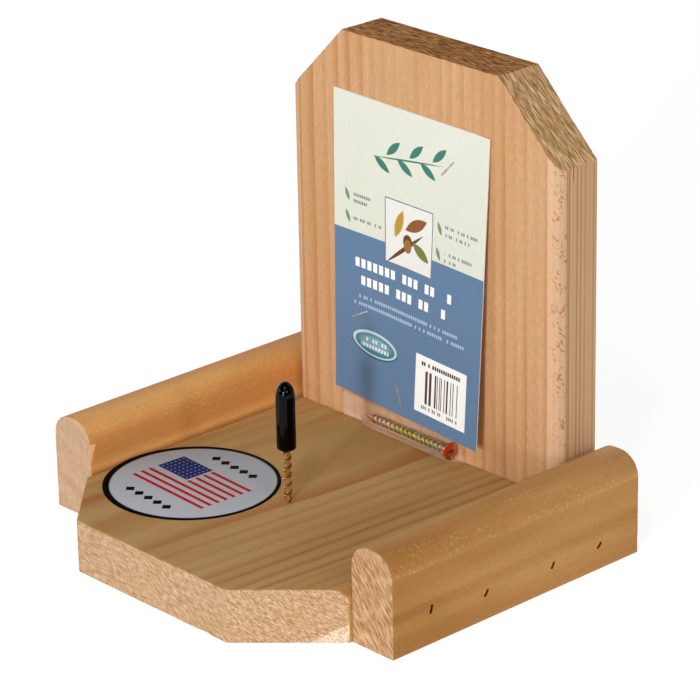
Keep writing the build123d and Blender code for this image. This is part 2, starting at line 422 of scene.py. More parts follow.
@dataclass(frozen=True)
class SawCut:
    """The look of a rough saw cut: its colours, and the way that the saw's strokes run.

    A mirrored cut looks the same on the board's left and right. Sapwood is a pale
    part beyond a plane, given by the plane's normal and its distance.
    """

    name: str
    base: Colour
    dark: Colour
    pale: Colour
    stroke: Vector
    normal: Vector
    pitch: float = 0.5 * MM
    length: float = 9.0
    contrast: float = 0.6
    pale_share: float = 0.6
    depth: float = 0.3 * MM
    mirrored: bool = False
    sapwood: tuple[Vector, float] | None = None

    def material(self, wood: CedarWood) -> Material:
        """Makes the finish of the cut in a board.

        Args:
            wood: The board's wood.

        Returns:
            The material.
        """
        sheet = NodeSheet.named(f"{wood.name}_{self.name}")
        late = wood.rings(sheet, wood.upright(sheet))
        place = sheet.place()
        across, back, up = sheet.parts(place)
        even = sheet.joined(sheet.math("ABSOLUTE", across), back, up) if self.mirrored else place
        stroke = self.stroke.normalized()
        axes = (stroke / self.length, self.normal.cross(stroke), self.normal)
        marks = sheet.joined(*(sheet.vector("DOT_PRODUCT", even, tuple(axis)) for axis in axes))
        coarse = sheet.level(marks, 1 / self.pitch, 1.0, 0.4)
        fine = sheet.level(marks, 1.7 / self.pitch, 1.0, 0.5)
        blotch = sheet.level(place, 60.0, 3.0)
        colour = sheet.blend(sheet.product(late, 0.35), self.base, self.dark)
        colour = sheet.blend(sheet.smooth(blotch, 0.45, 0.75, 0.0, 0.3), colour, wood.blush)
        if self.sapwood:
            normal, distance = self.sapwood
            depth = sheet.vector("DOT_PRODUCT", place, tuple(normal))
            beyond = sheet.math("MULTIPLY_ADD", blotch, 3 * MM, depth)
            colour = sheet.blend(sheet.smooth(beyond, distance, distance + 1.6 * MM), colour, self.pale)
        share, light = self.contrast, self.contrast * self.pale_share
        colour = sheet.blend(sheet.smooth(coarse, 0.53, 0.64, 0.0, 0.7 * share), colour, self.dark)
        colour = sheet.blend(sheet.smooth(fine, 0.55, 0.62, 0.0, share), colour, self.dark)
        colour = sheet.blend(sheet.smooth(coarse, 0.34, 0.44, light, 0.0), colour, self.pale)
        colour = sheet.blend(sheet.smooth(fine, 0.35, 0.42, 0.7 * light, 0.0), colour, self.pale)
        height = sheet.math("SUBTRACT", 1.0, sheet.math("MULTIPLY_ADD", fine, 0.5, coarse))
        normal = sheet.bump(height, self.depth, 0.7)
        return sheet.surface(Base_Color=colour, Roughness=0.85, Normal=normal, Specular_IOR_Level=wood.gleam)


@dataclass(frozen=True)
class MetalFinish:
    """A plated or plain metal whose colour drifts over the piece, or runs along X over a span."""

    name: str
    colours: tuple[Colour, ...]
    patch: float
    roughness: float = 0.28
    scratch: float = 0.15
    span: tuple[float, float] | None = None

    def material(self) -> Material:
        """Makes the metal's material.

        Returns:
            The material.
        """
        sheet = NodeSheet.named(self.name)
        place = sheet.place()
        drift = sheet.level(place, 1 / self.patch, 2.0, 0.6)
        if self.span:
            start, end = self.span
            across, _, _ = sheet.parts(place)
            run = sheet.math("DIVIDE", sheet.math("SUBTRACT", across, start), (end - start) / 0.36)
            drift = sheet.math("MULTIPLY_ADD", drift, 0.2, sheet.math("ADD", run, 0.22))
        colour: Feed = self.colours[0]
        span = 0.36 / max(len(self.colours) - 1, 1)
        for step, later in enumerate(self.colours[1:]):
            start = 0.32 + step * span
            colour = sheet.blend(sheet.smooth(drift, start, start + span), colour, later)
        marks = sheet.level(place, 2600.0, 3.0, 0.7)
        rough = sheet.smooth(marks, 0.3, 0.7, self.roughness, self.roughness + self.scratch)
        normal = sheet.bump(marks, 0.02 * MM, 0.5)
        return sheet.surface(Base_Color=colour, Metallic=1.0, Roughness=rough, Normal=normal)


@dataclass(frozen=True)
class VinylFinish:
    """Glossy dipped vinyl."""

    name: str
    colour: Colour
    dull: Colour

    def material(self) -> Material:
        """Makes the vinyl's material.

        Returns:
            The material.
        """
        sheet = NodeSheet.named(self.name)
        ripple = sheet.level(sheet.place(), 260.0, 2.0)
        dust = sheet.level(sheet.place(), 2400.0, 2.0, 0.6)
        colour = sheet.blend(sheet.smooth(dust, 0.62, 0.8, 0.0, 0.5), self.colour, self.dull)
        rough = sheet.smooth(ripple, 0.3, 0.7, 0.04, 0.07)
        normal = sheet.bump(ripple, 0.05 * MM, 0.3)
        return sheet.surface(Base_Color=colour, Roughness=rough, Normal=normal, Specular_IOR_Level=0.13)


@dataclass(frozen=True)
class FilmFinish:
    """Clear bag film, milky in its creases, at its seal left of a place and below a height."""

    name: str
    haze_and_reflection_tint: Colour
    clear: float
    milky: float
    edge: float
    seal: float
    fold: float

    def material(self) -> Material:
        """Makes the film's material.

        Returns:
            The material.
        """
        sheet = NodeSheet.named(self.name)
        place = sheet.place()
        across, _, up = sheet.parts(place)
        crease = sheet.level(sheet.mapped(place, Scale=(0.5, 1.0, 1.0)), 300.0, 3.0, 0.6)
        side = sheet.add("ShaderNodeLayerWeight", {"Blend": 0.3}).outputs["Facing"]
        haze = sheet.smooth(crease, 0.45, 0.72, self.clear, self.milky)
        haze = sheet.math("ADD", haze, sheet.smooth(across, self.seal - 2 * MM, self.seal, self.milky, 0.0))
        haze = sheet.math("ADD", haze, sheet.smooth(up, self.fold - 2 * MM, self.fold, self.milky, 0.0))
        alpha = sheet.math("MULTIPLY_ADD", sheet.math("POWER", side, 2.0), self.edge, haze)
        normal = sheet.bump(crease, 0.4 * MM, 0.6)
        return sheet.surface(Base_Color=self.haze_and_reflection_tint, Roughness=0.09, Alpha=alpha, Normal=normal)


@dataclass(frozen=True)
class InkShape:
    """A printed shape in a frame of its own, in millimetres: its middle, half sizes and turn."""

    ink: Colour
    middle: tuple[float, float]
    half: tuple[float, float]
    turn: float = 0.0

    def local(self, sheet: NodeSheet, place: Socket) -> Socket:
        """Gives coordinates that run from -1 to 1 over the shape."""
        at, turn = (*self.middle, 0.0), (0.0, 0.0, math.radians(self.turn))
        return sheet.mapped(place, "TEXTURE", Location=at, Rotation=turn, Scale=(*self.half, 1.0))

    def mask(self, sheet: NodeSheet, place: Socket) -> Socket:
        """Works out where the ink is.

        Args:
            sheet: The material's nodes.
            place: Coordinates on the print, in millimetres.

        Returns:
            The ink's share, from 0 to 1.
        """
        across, up, _ = sheet.parts(self.local(sheet, place))
        box = [sheet.math("COMPARE", value, 0.0, 1.0) for value in (across, up)]
        return sheet.product(*box, *self.covers(sheet, across, up))

    def covers(self, sheet: NodeSheet, across: Socket, up: Socket) -> Sequence[Socket]:
        """Lists what the ink keeps to inside its box, from -1 to 1 each way: nothing more."""
        return ()


@dataclass(frozen=True)
class InkOval(InkShape):
    """A printed oval with a soft rim."""

    soft: float = 0.02

    def covers(self, sheet: NodeSheet, across: Socket, up: Socket) -> Sequence[Socket]:
        """Lists what the ink keeps to: the inside of the oval."""
        reach = sheet.vector("LENGTH", sheet.joined(across, up, 0.0))
        return (sheet.smooth(reach, 1.0 - self.soft, 1.0, 1.0, 0.0),)


@dataclass(frozen=True)
class InkLeaf(InkShape):
    """A printed leaf: a lens with a point at each end."""

    def covers(self, sheet: NodeSheet, across: Socket, up: Socket) -> Sequence[Socket]:
        """Lists what the ink keeps to: the space between the leaf's two curved sides."""
        side = sheet.math("SUBTRACT", 1.0, sheet.math("MULTIPLY", across, across))
        return (sheet.math("LESS_THAN", sheet.math("ABSOLUTE", up), side),)


@dataclass(frozen=True)
class InkMarks(InkShape):
    """A row of plain upright marks with random gaps: bars, or blocks in place of words."""

    count: int = 20
    gap: float = 0.3
    seed: float = 0.0
    fill: float = 1.0

    def covers(self, sheet: NodeSheet, across: Socket, up: Socket) -> Sequence[Socket]:
        """Lists what the ink keeps to: the cells that have a mark, and the mark's part of a cell.

        Args:
            sheet: The material's nodes.
            across: The place across the box.
            up: The place up the box.

        Returns:
            The shares.
        """
        cells = sheet.math("MULTIPLY_ADD", across, self.count / 2, self.seed + self.count)
        inked = sheet.math("GREATER_THAN", sheet.scatter(sheet.math("FLOOR", cells)), self.gap)
        return inked, sheet.math("LESS_THAN", sheet.math("FRACT", cells), self.fill)


@dataclass(frozen=True)
class InkStripes(InkShape):
    """Printed stripes along the box."""

    count: int = 7
    share: float = 0.45

    def covers(self, sheet: NodeSheet, across: Socket, up: Socket) -> Sequence[Socket]:
        """Lists what the ink keeps to: the lower share of each stripe's step."""
        within = sheet.within(up, self.count - 1 + self.share)
        return (sheet.math("LESS_THAN", within, self.share),)


@dataclass(frozen=True)
class InkSpots(InkShape):
    """Printed round spots or diamonds in rows."""

    columns: int = 6
    rows: int = 5
    size: float = 0.3
    diamond: bool = False

    def covers(self, sheet: NodeSheet, across: Socket, up: Socket) -> Sequence[Socket]:
        """Lists what the ink keeps to: the middle of each cell.

        Args:
            sheet: The material's nodes.
            across: The place across the box.
            up: The place up the box.

        Returns:
            The shares.
        """
        cells = (sheet.within(across, self.columns), sheet.within(up, self.rows))
        off = [sheet.math("ABSOLUTE", sheet.math("SUBTRACT", cell, 0.5)) for cell in cells]
        reach = sheet.math("ADD", *off) if self.diamond else sheet.vector("LENGTH", sheet.joined(*off))
        return (sheet.math("LESS_THAN", reach, self.size),)


@dataclass(frozen=True)
class PrintFinish:
    """A printed sheet: its ground, and inks laid on in order."""

    name: str
    ground: Colour
    inks: tuple[InkShape, ...]
    roughness: float
    gleam: float = 0.08

    def material(self, sheet: NodeSheet, place: Socket) -> Material:
        """Makes the print's material.

        Args:
            sheet: The material's nodes.
            place: Coordinates on the sheet, in millimetres.

        Returns:
            The material.
        """
        colour: Feed = self.ground
        for shape in self.inks:
            colour = sheet.blend(shape.mask(sheet, place), colour, shape.ink)
        pulp = sheet.level(sheet.place(), 700.0, 3.0, 0.6)
        colour = sheet.dim(colour, sheet.smooth(pulp, 0.25, 0.75, 0.96, 1.03))
        rough = sheet.smooth(pulp, 0.3, 0.7, self.roughness, self.roughness + 0.12)
        normal = sheet.bump(pulp, 0.03 * MM, 0.4)
        return sheet.surface(
            Base_Color=colour, Roughness=rough, Normal=normal, Specular_IOR_Level=self.gleam
        )


def link_new(name: str, data: bpy.types.ID) -> Piece:
    """Adds an object to the scene, at the origin.

    Args:
        name: Its name.
        data: Its mesh, lamp or camera.

    Returns:
        The new object.
    """
    made = bpy.data.objects.new(name, data)
    bpy.context.scene.collection.objects.link(made)
    return made


def new_piece(name: str, bm: BMesh, materials: Iterable[Material]) -> Piece:
    """Makes an object at the origin from a finished mesh.

    Args:
        name: The piece's name.
        bm: Its mesh, which is freed.
        materials: Its materials, in slot order.

    Returns:
        The new object.
    """
    mesh = bpy.data.meshes.new(name)
    bm.to_mesh(mesh)
    bm.free()
    for material in materials:
        mesh.materials.append(material)
    return link_new(name, mesh)


def shade(piece: Piece, sharp: float = 38.0) -> None:
    """Shades a piece smooth, apart from edges that turn more than some degrees."""
    piece.data.shade_smooth()
    piece.data.set_sharp_from_angle(angle=math.radians(sharp))


def fit_in(piece: Piece, body: str, slot: str, *nodes: str) -> None:
    """Lets a piece ride on its body and stand for its CAD nodes.

    Args:
        piece: The piece.
        body: The CAD body that carries it.
        slot: The record's material slot; not used.
        nodes: The CAD nodes that it stands for.
    """
    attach(piece, body)
    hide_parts(*nodes)
    LOG.info("%s: %d faces, on %s", piece.name, len(piece.data.polygons), body)


def middle_of(node: str) -> Vector:
    """Gives the middle of a CAD node's box."""
    return sum(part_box(node), Vector()) / 2


def pointed(place: Vector, way: Vector) -> Matrix:
    """Gives the matrix that brings a shape to a place and turns its Z to a way."""
    return Matrix.Translation(place) @ way.to_track_quat("Z", "Y").to_matrix().to_4x4()


def only(items: Iterable, kind: type) -> list:
    """Picks the vertices, edges or faces out of what a mesh operator gives."""
    return [item for item in items if isinstance(item, kind)]


def whole(bm: BMesh) -> list:
    """Gives all of a mesh's vertices, edges and faces."""
    return [*bm.verts, *bm.edges, *bm.faces]


def close_up(bm: BMesh) -> None:
    """Merges doubled points and turns all faces outwards."""
    bmesh.ops.remove_doubles(bm, verts=bm.verts, dist=MERGE)
    bmesh.ops.recalc_face_normals(bm, faces=bm.faces)


def block(bm: BMesh, low: Vector, high: Vector) -> None:
    """Adds a box between its lowest and its highest corner."""
    matrix = Matrix.Translation((low + high) / 2) @ Matrix.Diagonal((*(high - low), 1.0))
    bmesh.ops.create_cube(bm, size=1.0, matrix=matrix)


def rod(radius: float, length: float, segments: int, matrix: Matrix) -> BMesh:
    """Makes a closed cylinder along Z and brings it to its place.

    Args:
        radius: Its radius.
        length: Its length.
        segments: How many faces go round.
        matrix: What brings it to its place.

    Returns:
        The mesh.
    """
    bm = bmesh.new()
    bmesh.ops.create_cone(
        bm, cap_ends=True, segments=segments, radius1=radius, radius2=radius, depth=length, matrix=matrix
    )
    return bm


def bevel(
    bm: BMesh, edges: list[BMEdge], offset: float, segments: int = 2
) -> list[BMFace]:
    """Rounds edges.

    Args:
        bm: The mesh.
        edges: The edges.
        offset: How far from an edge the rounding starts.
        segments: How many faces it has across.

    Returns:
        The new faces.
    """
    made = bmesh.ops.bevel(
        bm, geom=edges, offset=offset, affect="EDGES", segments=segments, profile=0.5, material=-1,
        clamp_overlap=True,
    )
    return made["faces"]


def lathe(bm: BMesh, profile: Sequence[tuple[float, float]], steps: int) -> None:
    """Turns a profile about Z.

    Args:
        bm: The mesh that it is added to.
        profile: Radius and height of each point, ends on the axis.
        steps: How many faces go round.
    """
    points = [bm.verts.new((radius, 0.0, height)) for radius, height in profile]
    edges = [bm.edges.new(pair) for pair in zip(points, points[1:])]
    bmesh.ops.spin(
        bm, geom=points + edges, cent=(0, 0, 0), axis=(0, 0, 1), angle=math.tau, steps=steps, use_merge=True
    )
    close_up(bm)


def slice_through(bm: BMesh, axis: int, low: float, high: float, step: float) -> None:
    """Cuts a mesh into even slices on planes square to an axis.

    Args:
        bm: The mesh.
        axis: The axis's number.
        low: Where the slices start.
        high: Where they end.
        step: About how thick one is.
    """
    normal = AXES[axis]
    count = round((high - low) / step)
    for number in range(1, count):
        level = low + (high - low) * number / count
        bmesh.ops.bisect_plane(bm, geom=whole(bm), dist=MERGE, plane_co=normal * level, plane_no=normal)


class Change(Enum):
    """What a tool's shape does to a piece."""

    CUT = "DIFFERENCE"
    JOIN = "UNION"


def combine(piece: Piece, tool: BMesh, change: Change) -> None:
    """Cuts a tool's shape out of a piece, or joins it on.

    Args:
        piece: The piece, whose mesh is changed.
        tool: The tool's closed mesh, which is freed.
        change: What the tool does.

    Raises:
        RuntimeError: If the shapes don't combine.
    """
    other = new_piece("tool", tool, piece.data.materials)
    modifier = piece.modifiers.new("combine", "BOOLEAN")
    modifier.operation = change.value
    modifier.solver = "MANIFOLD"
    modifier.object = other
    mesh = bpy.data.meshes.new_from_object(piece.evaluated_get(bpy.context.evaluated_depsgraph_get()))
    if len(mesh.polygons) in (0, len(piece.data.polygons)):
        raise RuntimeError(f"{piece.name}: a cut or join left it as it was, or empty")
    piece.modifiers.clear()
    old = piece.data
    name = old.name
    piece.data = mesh
    bpy.data.objects.remove(other)
    bpy.data.meshes.remove(old)
    mesh.name = name


class Zone(Enum):
    """The kinds of surface on a board, which are its material slots."""

    PLANED = 0
    END = 1
    CLIP = 2
    ROUNDED = 3
    # The nail slots' walls: bruised wood, with the shade inside the slots painted in.
    BRUISE_AND_SHADE = 4


@dataclass(frozen=True)
class Dent:
    """A chip or a raised splinter: where it is, how wide, and how far it moves the wood."""

    place: Vector
    radius: float
    move: Vector


@dataclass(frozen=True)
class Gouge:
    """A straight-sided cut: its middle, its size, its turns in degrees and the surface it leaves."""

    middle: Vector
    size: Vector
    turn: tuple[float, float, float] = (0.0, 0.0, 0.0)
    zone: Zone = Zone.END

    def tool(self) -> BMesh:
        """Makes the closed shape that is cut away.

        Returns:
            The mesh.
        """
        turn = Euler([math.radians(angle) for angle in self.turn]).to_matrix().to_4x4()
        bm = bmesh.new()
        matrix = Matrix.Translation(self.middle) @ turn @ Matrix.Diagonal((*self.size, 1.0))
        bmesh.ops.create_cube(bm, size=1.0, matrix=matrix)
        return bm


@dataclass(frozen=True)
class Bore:
    """A round hole: its middle, the way it runs, its radius, its length and the surface it leaves."""

    middle: Vector
    way: Vector
    radius: float
    length: float
    zone: Zone = Zone.END
    segments: int = 32

    def tool(self) -> BMesh:
        """Makes the closed shape that is cut away."""
        return rod(self.radius, self.length, self.segments, pointed(self.middle, self.way))


@dataclass
class CedarBoard:
    """A board with the long edges of one side rounded, rough saw cuts, holes and small chips.

    Pitches are features for each metre; the saw's are across and along its strokes.
    """

    piece: str
    node: str
    wood: CedarWood
    edge_radius: float
    end_cut: SawCut
    clip_cut: SawCut | None = None
    bruise_and_shade: SawCut | None = None
    clip: float = 0.0
    clip_end: Vector = field(default_factory=UP.copy)
    rounded: Vector = field(default_factory=UP.copy)
    wear: Wear = Wear.SMOOTH
    step: float = 2.0 * MM
    thick: float = 60.0 * MM
    ease: float = 0.4 * MM
    sharp: float = 30.0
    round_segments: int = 8
    tear: float = 0.2 * MM
    tear_pitch: float = 330.0
    saw_relief: float = 0.12 * MM
    saw_pitch: tuple[float, float] = (620.0, 90.0)
    chip_depth: float = 0.5 * MM
    chip_pitch: float = 210.0
    planed_relief: float = 0.03 * MM
    planed_pitch: float = 40.0
    dents: list[Dent] = field(default_factory=list)
    cuts: list[Gouge | Bore] = field(default_factory=list)

    @property
    def grain_way(self) -> Vector:
        """The unit vector along the fibres."""
        return AXES[self.wood.grain.axis]

    def rough_out(self) -> BMesh:
        """Makes the board's block with its rounded edges and clipped corners.

        Returns:
            The mesh, with each face's zone as its material.
        """
        low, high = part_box(self.node)
        middle = middle_of(self.node)
        bm = bmesh.new()
        block(bm, low, high)
        for face in bm.faces:
            across = abs(face.normal @ self.grain_way) > 0.9
            face.material_index = (Zone.END if across else Zone.PLANED).value
        long_edges = [
            edge
            for edge in bm.edges
            if abs((edge.verts[0].co - edge.verts[1].co).normalized() @ self.grain_way) > 0.9
            and (edge.verts[0].co - middle) @ self.rounded > 0
        ]
        for face in bevel(bm, long_edges, self.edge_radius, self.round_segments):
            face.material_index = Zone.ROUNDED.value
        for side in (-1.0, 1.0) if self.clip else ():
            self.clip_corner(bm, side, low, high)
        limit = math.radians(self.sharp)
        bevel(bm, [edge for edge in bm.edges if edge.calc_face_angle() > limit], self.ease)
        return bm

    def clip_corner(self, bm: BMesh, side: float, low: Vector, high: Vector) -> None:
        """Saws one corner off at 45 degrees.

        Args:
            bm: The board's mesh.
            side: 1 on the right and -1 on the left.
            low: The board's lowest corner.
            high: The board's highest corner.
        """
        axis = self.wood.grain.axis
        corner = Vector()
        corner.x = side * ((high.x - low.x) / 2 - self.clip)
        corner[axis] = high[axis] if self.clip_end[axis] > 0 else low[axis]
        outward = (side * RIGHT + self.clip_end).normalized()
        cut = bmesh.ops.bisect_plane(
            bm, geom=whole(bm), dist=MERGE, plane_co=corner, plane_no=outward, clear_outer=True
        )
        rim = only(cut["geom_cut"], BMEdge)
        bmesh.ops.edgeloop_fill(bm, edges=rim, mat_nr=Zone.CLIP.value)
        bmesh.ops.recalc_face_normals(bm, faces=bm.faces)

    def roughen(self, bm: BMesh) -> None:
        """Gives the saw cuts their ridges, the rounded edges their tear-out and the corners their chips.

        Args:
            bm: The sliced mesh.
        """
        bm.normal_update()
        moves = []
        for vert in bm.verts:
            zones = {Zone(face.material_index) for face in vert.link_faces}
            moves.append((vert, vert.normal * self.relief(vert.co, zones)))
        for vert, move in moves:
            vert.co += move
        for dent in self.dents:
            for vert in bm.verts:
                near = 1 - (vert.co - dent.place).length / dent.radius
                if near > 0:
                    vert.co += dent.move * (near * near * (3 - 2 * near))

    def relief(self, place: Vector, zones: set[Zone]) -> float:
        """Works out how far a point of the surface stands out.

        Args:
            place: The point.
            zones: The kinds of surface that meet there.

        Returns:
            The height, in metres.
        """
        sawn = zones & {Zone.END, Zone.CLIP}
        if sawn and len(zones) > 1:
            chip = noise.fractal(place * self.chip_pitch, 0.9, 2.0, 3)
            return -self.chip_depth * max(0.0, chip - 0.05)
        if sawn:
            stroke = self.end_cut.stroke.normalized()
            run = stroke * (place @ stroke)
            over, along = self.saw_pitch
            return self.saw_relief * noise.noise((place - run) * over + run * along)
        if Zone.ROUNDED in zones:
            stretched = place * self.tear_pitch
            stretched[self.wood.grain.axis] *= 0.6
            return -self.tear * max(0.0, noise.noise(stretched) - 0.2)
        return self.planed_relief * noise.noise(place * self.planed_pitch)

    def build(self) -> None:
        """Makes the board, cuts its holes, dresses it and fits it in."""
        bm = self.rough_out()
        low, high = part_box(self.node)
        for axis in range(3):
            step = self.step if high[axis] - low[axis] > self.thick else self.step / 2
            slice_through(bm, axis, low[axis], high[axis], step)
        self.roughen(bm)
        end = self.end_cut.material(self.wood)
        planed = self.wood.planed(Wear.SMOOTH)
        rounded = planed if self.wear is Wear.SMOOTH else self.wood.planed(self.wear)
        clip, bruise_and_shade = (cut.material(self.wood) if cut else end for cut in (self.clip_cut, self.bruise_and_shade))
        piece = new_piece(self.piece, bm, [planed, end, clip, rounded, bruise_and_shade])
        for cut in self.cuts:
            tool = cut.tool()
            for face in tool.faces:
                face.material_index = cut.zone.value
            combine(piece, tool, Change.CUT)
        shade(piece)
        fit_in(piece, FEEDER, "cedar", self.node)


@dataclass(frozen=True)
class ScrewPlace:
    """Where a screw is: its head's middle, the way it points, and its length."""

    head: Vector
    way: Vector
    length: float

    @property
    def matrix(self) -> Matrix:
        """The matrix that brings a screw along +Z to its place."""
        return pointed(self.head, self.way)

    @classmethod
    def upright(cls, node: str) -> "ScrewPlace":
        """Reads the place of a screw that is driven straight up."""
        low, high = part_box(node)
        return cls(Vector((*middle_of(node).xy, low.z)), UP, high.z - low.z)

    @classmethod
    def bagged(cls) -> "ScrewPlace":
        """Reads the place of the mounting screw, which lies in the bag with its head to the right.

        Returns:
            The place.
        """
        low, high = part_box("mounting_screw")
        turn, length, head = math.radians(2.2), 63.5 * MM, 4.6 * MM
        way = Vector((-math.cos(turn), math.sin(turn), 0.0))
        spot = Vector((low.x + length * math.cos(turn), low.y + head * math.cos(turn), (low.z + high.z) / 2))
        return cls(spot, way, length)


@dataclass
class WoodScrew:
    """A flat-head wood screw with a cross recess and a wound thread."""

    piece: str
    node: str
    place: ScrewPlace
    crest: float
    head_radius: float
    point: float
    pitch: float
    finish: Material
    thread_finish: Material
    # Painted shade: a dark finish for the thread's roots and the cross recess.
    painted_shade_finish: Material
    core_share: float = 0.7
    ridge: float = 0.17
    rim: float = 0.35 * MM
    steps: int = 36

    def core(self) -> BMesh:
        """Turns the head, shank and point.

        Returns:
            The mesh.
        """
        core = self.crest * self.core_share
        cone = self.head_radius - core
        profile = [
            (0.0, 0.0),
            (self.head_radius - 0.2 * MM, 0.0),
            (self.head_radius, 0.12 * MM),
            (self.head_radius, self.rim),
            (core + 0.25 * cone, self.rim + 0.7 * cone),
            (core, self.rim + cone),
            (core, self.place.length - self.point),
            (0.5 * core, self.place.length - 0.3 * self.point),
            (0.0, self.place.length),
        ]
        bm = bmesh.new()
        lathe(bm, profile, self.steps)
        return bm

    def thread(self) -> BMesh:
        """Winds the thread's ridge up the shank and tapers it at the point.

        Returns:
            The mesh, with material 1 on the ridge's crest and 2, a painted shade for the thread's roots,
            below its waist.
        """
        core = self.crest * self.core_share
        start = self.rim + self.head_radius - core + 0.5 * self.pitch
        turns = math.floor((self.place.length - 0.6 * self.pitch - start) / self.pitch)
        half = self.ridge * self.pitch
        root = core - 0.2 * MM
        waist = (root + self.crest) / 2
        bm = bmesh.new()
        flank = [(root, half), (waist, 0.5 * half), (self.crest, 0.06 * half)]
        section = flank + [(radius, -height) for radius, height in reversed(flank)]
        corners = [bm.verts.new((radius, 0.0, start + height)) for radius, height in section]
        ring = [bm.edges.new((corners[i - 1], corners[i])) for i in range(len(corners))]
        made = bmesh.ops.spin(
            bm, geom=corners + ring, cent=(0, 0, 0), axis=(0, 0, 1),
            dvec=(0, 0, self.pitch / self.steps), angle=math.tau * turns, steps=turns * self.steps,
        )
        for end in (ring, only(made["geom_last"], BMEdge)):
            bmesh.ops.edgeloop_fill(bm, edges=end)
        for face in bm.faces:
            # Faces below the ridge's waist get the painted shade of the thread's roots.
            face.material_index = 1 if face.calc_center_median().xy.length > waist else 2
        tip = self.place.length
        for vert in bm.verts:
            runout = min(1.0, (vert.co.z - start + half) / self.pitch)
            taper = min(1.0, (tip - vert.co.z) / self.point)
            radius = math.hypot(vert.co.x, vert.co.y)
            wanted = (root + (radius - root) * max(0.05, runout)) * max(0.08, taper)
            vert.co.x *= wanted / radius
            vert.co.y *= wanted / radius
        close_up(bm)
        return bm

    def recess_arm(self, first: bool) -> BMesh:
        """Makes one tapering arm of the driver's cross recess.

        Args:
            first: Whether it is the arm along X.

        Returns:
            The mesh.
        """
        reach, width, depth = (share * self.head_radius for share in (0.56, 0.13, 0.62))
        corner = Vector((reach, width, depth)) if first else Vector((width, reach, depth))
        bm = bmesh.new()
        block(bm, -corner, corner)
        inner = [vert for vert in bm.verts if vert.co.z > 0]
        bmesh.ops.scale(bm, vec=(0.45, 0.45, 1.0), verts=inner)
        for face in bm.faces:
            # The recess's walls take the painted shade finish.
            face.material_index = 2
        return bm

    def build(self) -> None:
        """Makes the screw, brings it to its place and fits it in."""
        finishes = [self.finish, self.thread_finish, self.painted_shade_finish]
        piece = new_piece(self.piece, self.core(), finishes)
        combine(piece, self.thread(), Change.JOIN)
        for first in (True, False):
            combine(piece, self.recess_arm(first), Change.CUT)
        piece.data.transform(self.place.matrix)
        shade(piece, 30.0)
        fit_in(piece, FEEDER, "yellow_zinc", self.node)


@dataclass
class VinylCap:
    """The black cap that is pushed over the corn screw's point."""

    finish: Material
    piece: str = "vinyl_cap"
    node: str = "screw_cap"
    wall: float = 1.7 * MM
    end_wall: float = 2.0 * MM
    dome: float = 8.0 * MM
    lip: float = 1.0 * MM
    waist: float = 0.008
    dome_power: float = 1.06
    steps: int = 72

    def profile(self, radius: float, low: float, high: float) -> list[tuple[float, float]]:
        """Works out the cap's section, from the bore's end round its mouth to its top.

        Args:
            radius: The cap's outer radius.
            low: The height of its mouth.
            high: The height of its top.

        Returns:
            Radius and height of each point.
        """
        quarter = [QUARTER * step / 12 for step in range(13)]
        shoulder = high - self.dome
        side = shoulder - low - self.lip
        bore = radius - self.wall
        end, mouth = high - self.end_wall - bore, radius - self.lip
        inner = [(bore * math.sin(a), end + bore * math.cos(a)) for a in quarter[::3]]
        lip = [(mouth + self.lip * math.sin(a), low + self.lip * (1 - math.cos(a))) for a in quarter[::3]]
        wall = [
            (radius * (1 - self.waist * math.sin(math.pi * step / 8)), low + self.lip + side * step / 8)
            for step in range(1, 8)
        ]
        power = self.dome_power
        dome = [(radius * math.cos(a) ** power, shoulder + self.dome * math.sin(a)) for a in quarter[:-1]]
        return [*inner, (bore, low), *lip, *wall, *dome, (0.0, high)]

    def build(self) -> None:
        """Makes the cap and fits it in."""
        low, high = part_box(self.node)
        middle = middle_of(self.node)
        bm = bmesh.new()
        lathe(bm, self.profile((high.x - low.x) / 2, low.z, high.z), self.steps)
        bmesh.ops.translate(bm, verts=bm.verts, vec=(middle.x, middle.y, 0.0))
        piece = new_piece(self.piece, bm, [self.finish])
        shade(piece, 50.0)
        fit_in(piece, CAP, "black_vinyl", self.node)


def card_bend() -> tuple[Vector, Vector]:
    """Reads the line past which the card leans forward: its left staple's place, and the line's way."""
    low, high = (middle_of(f"card_staple_{name}") for name in ("left", "upper"))
    return Vector((low.x, 0.0, low.z)), Vector((high.x - low.x, 0.0, high.z - low.z)).normalized()


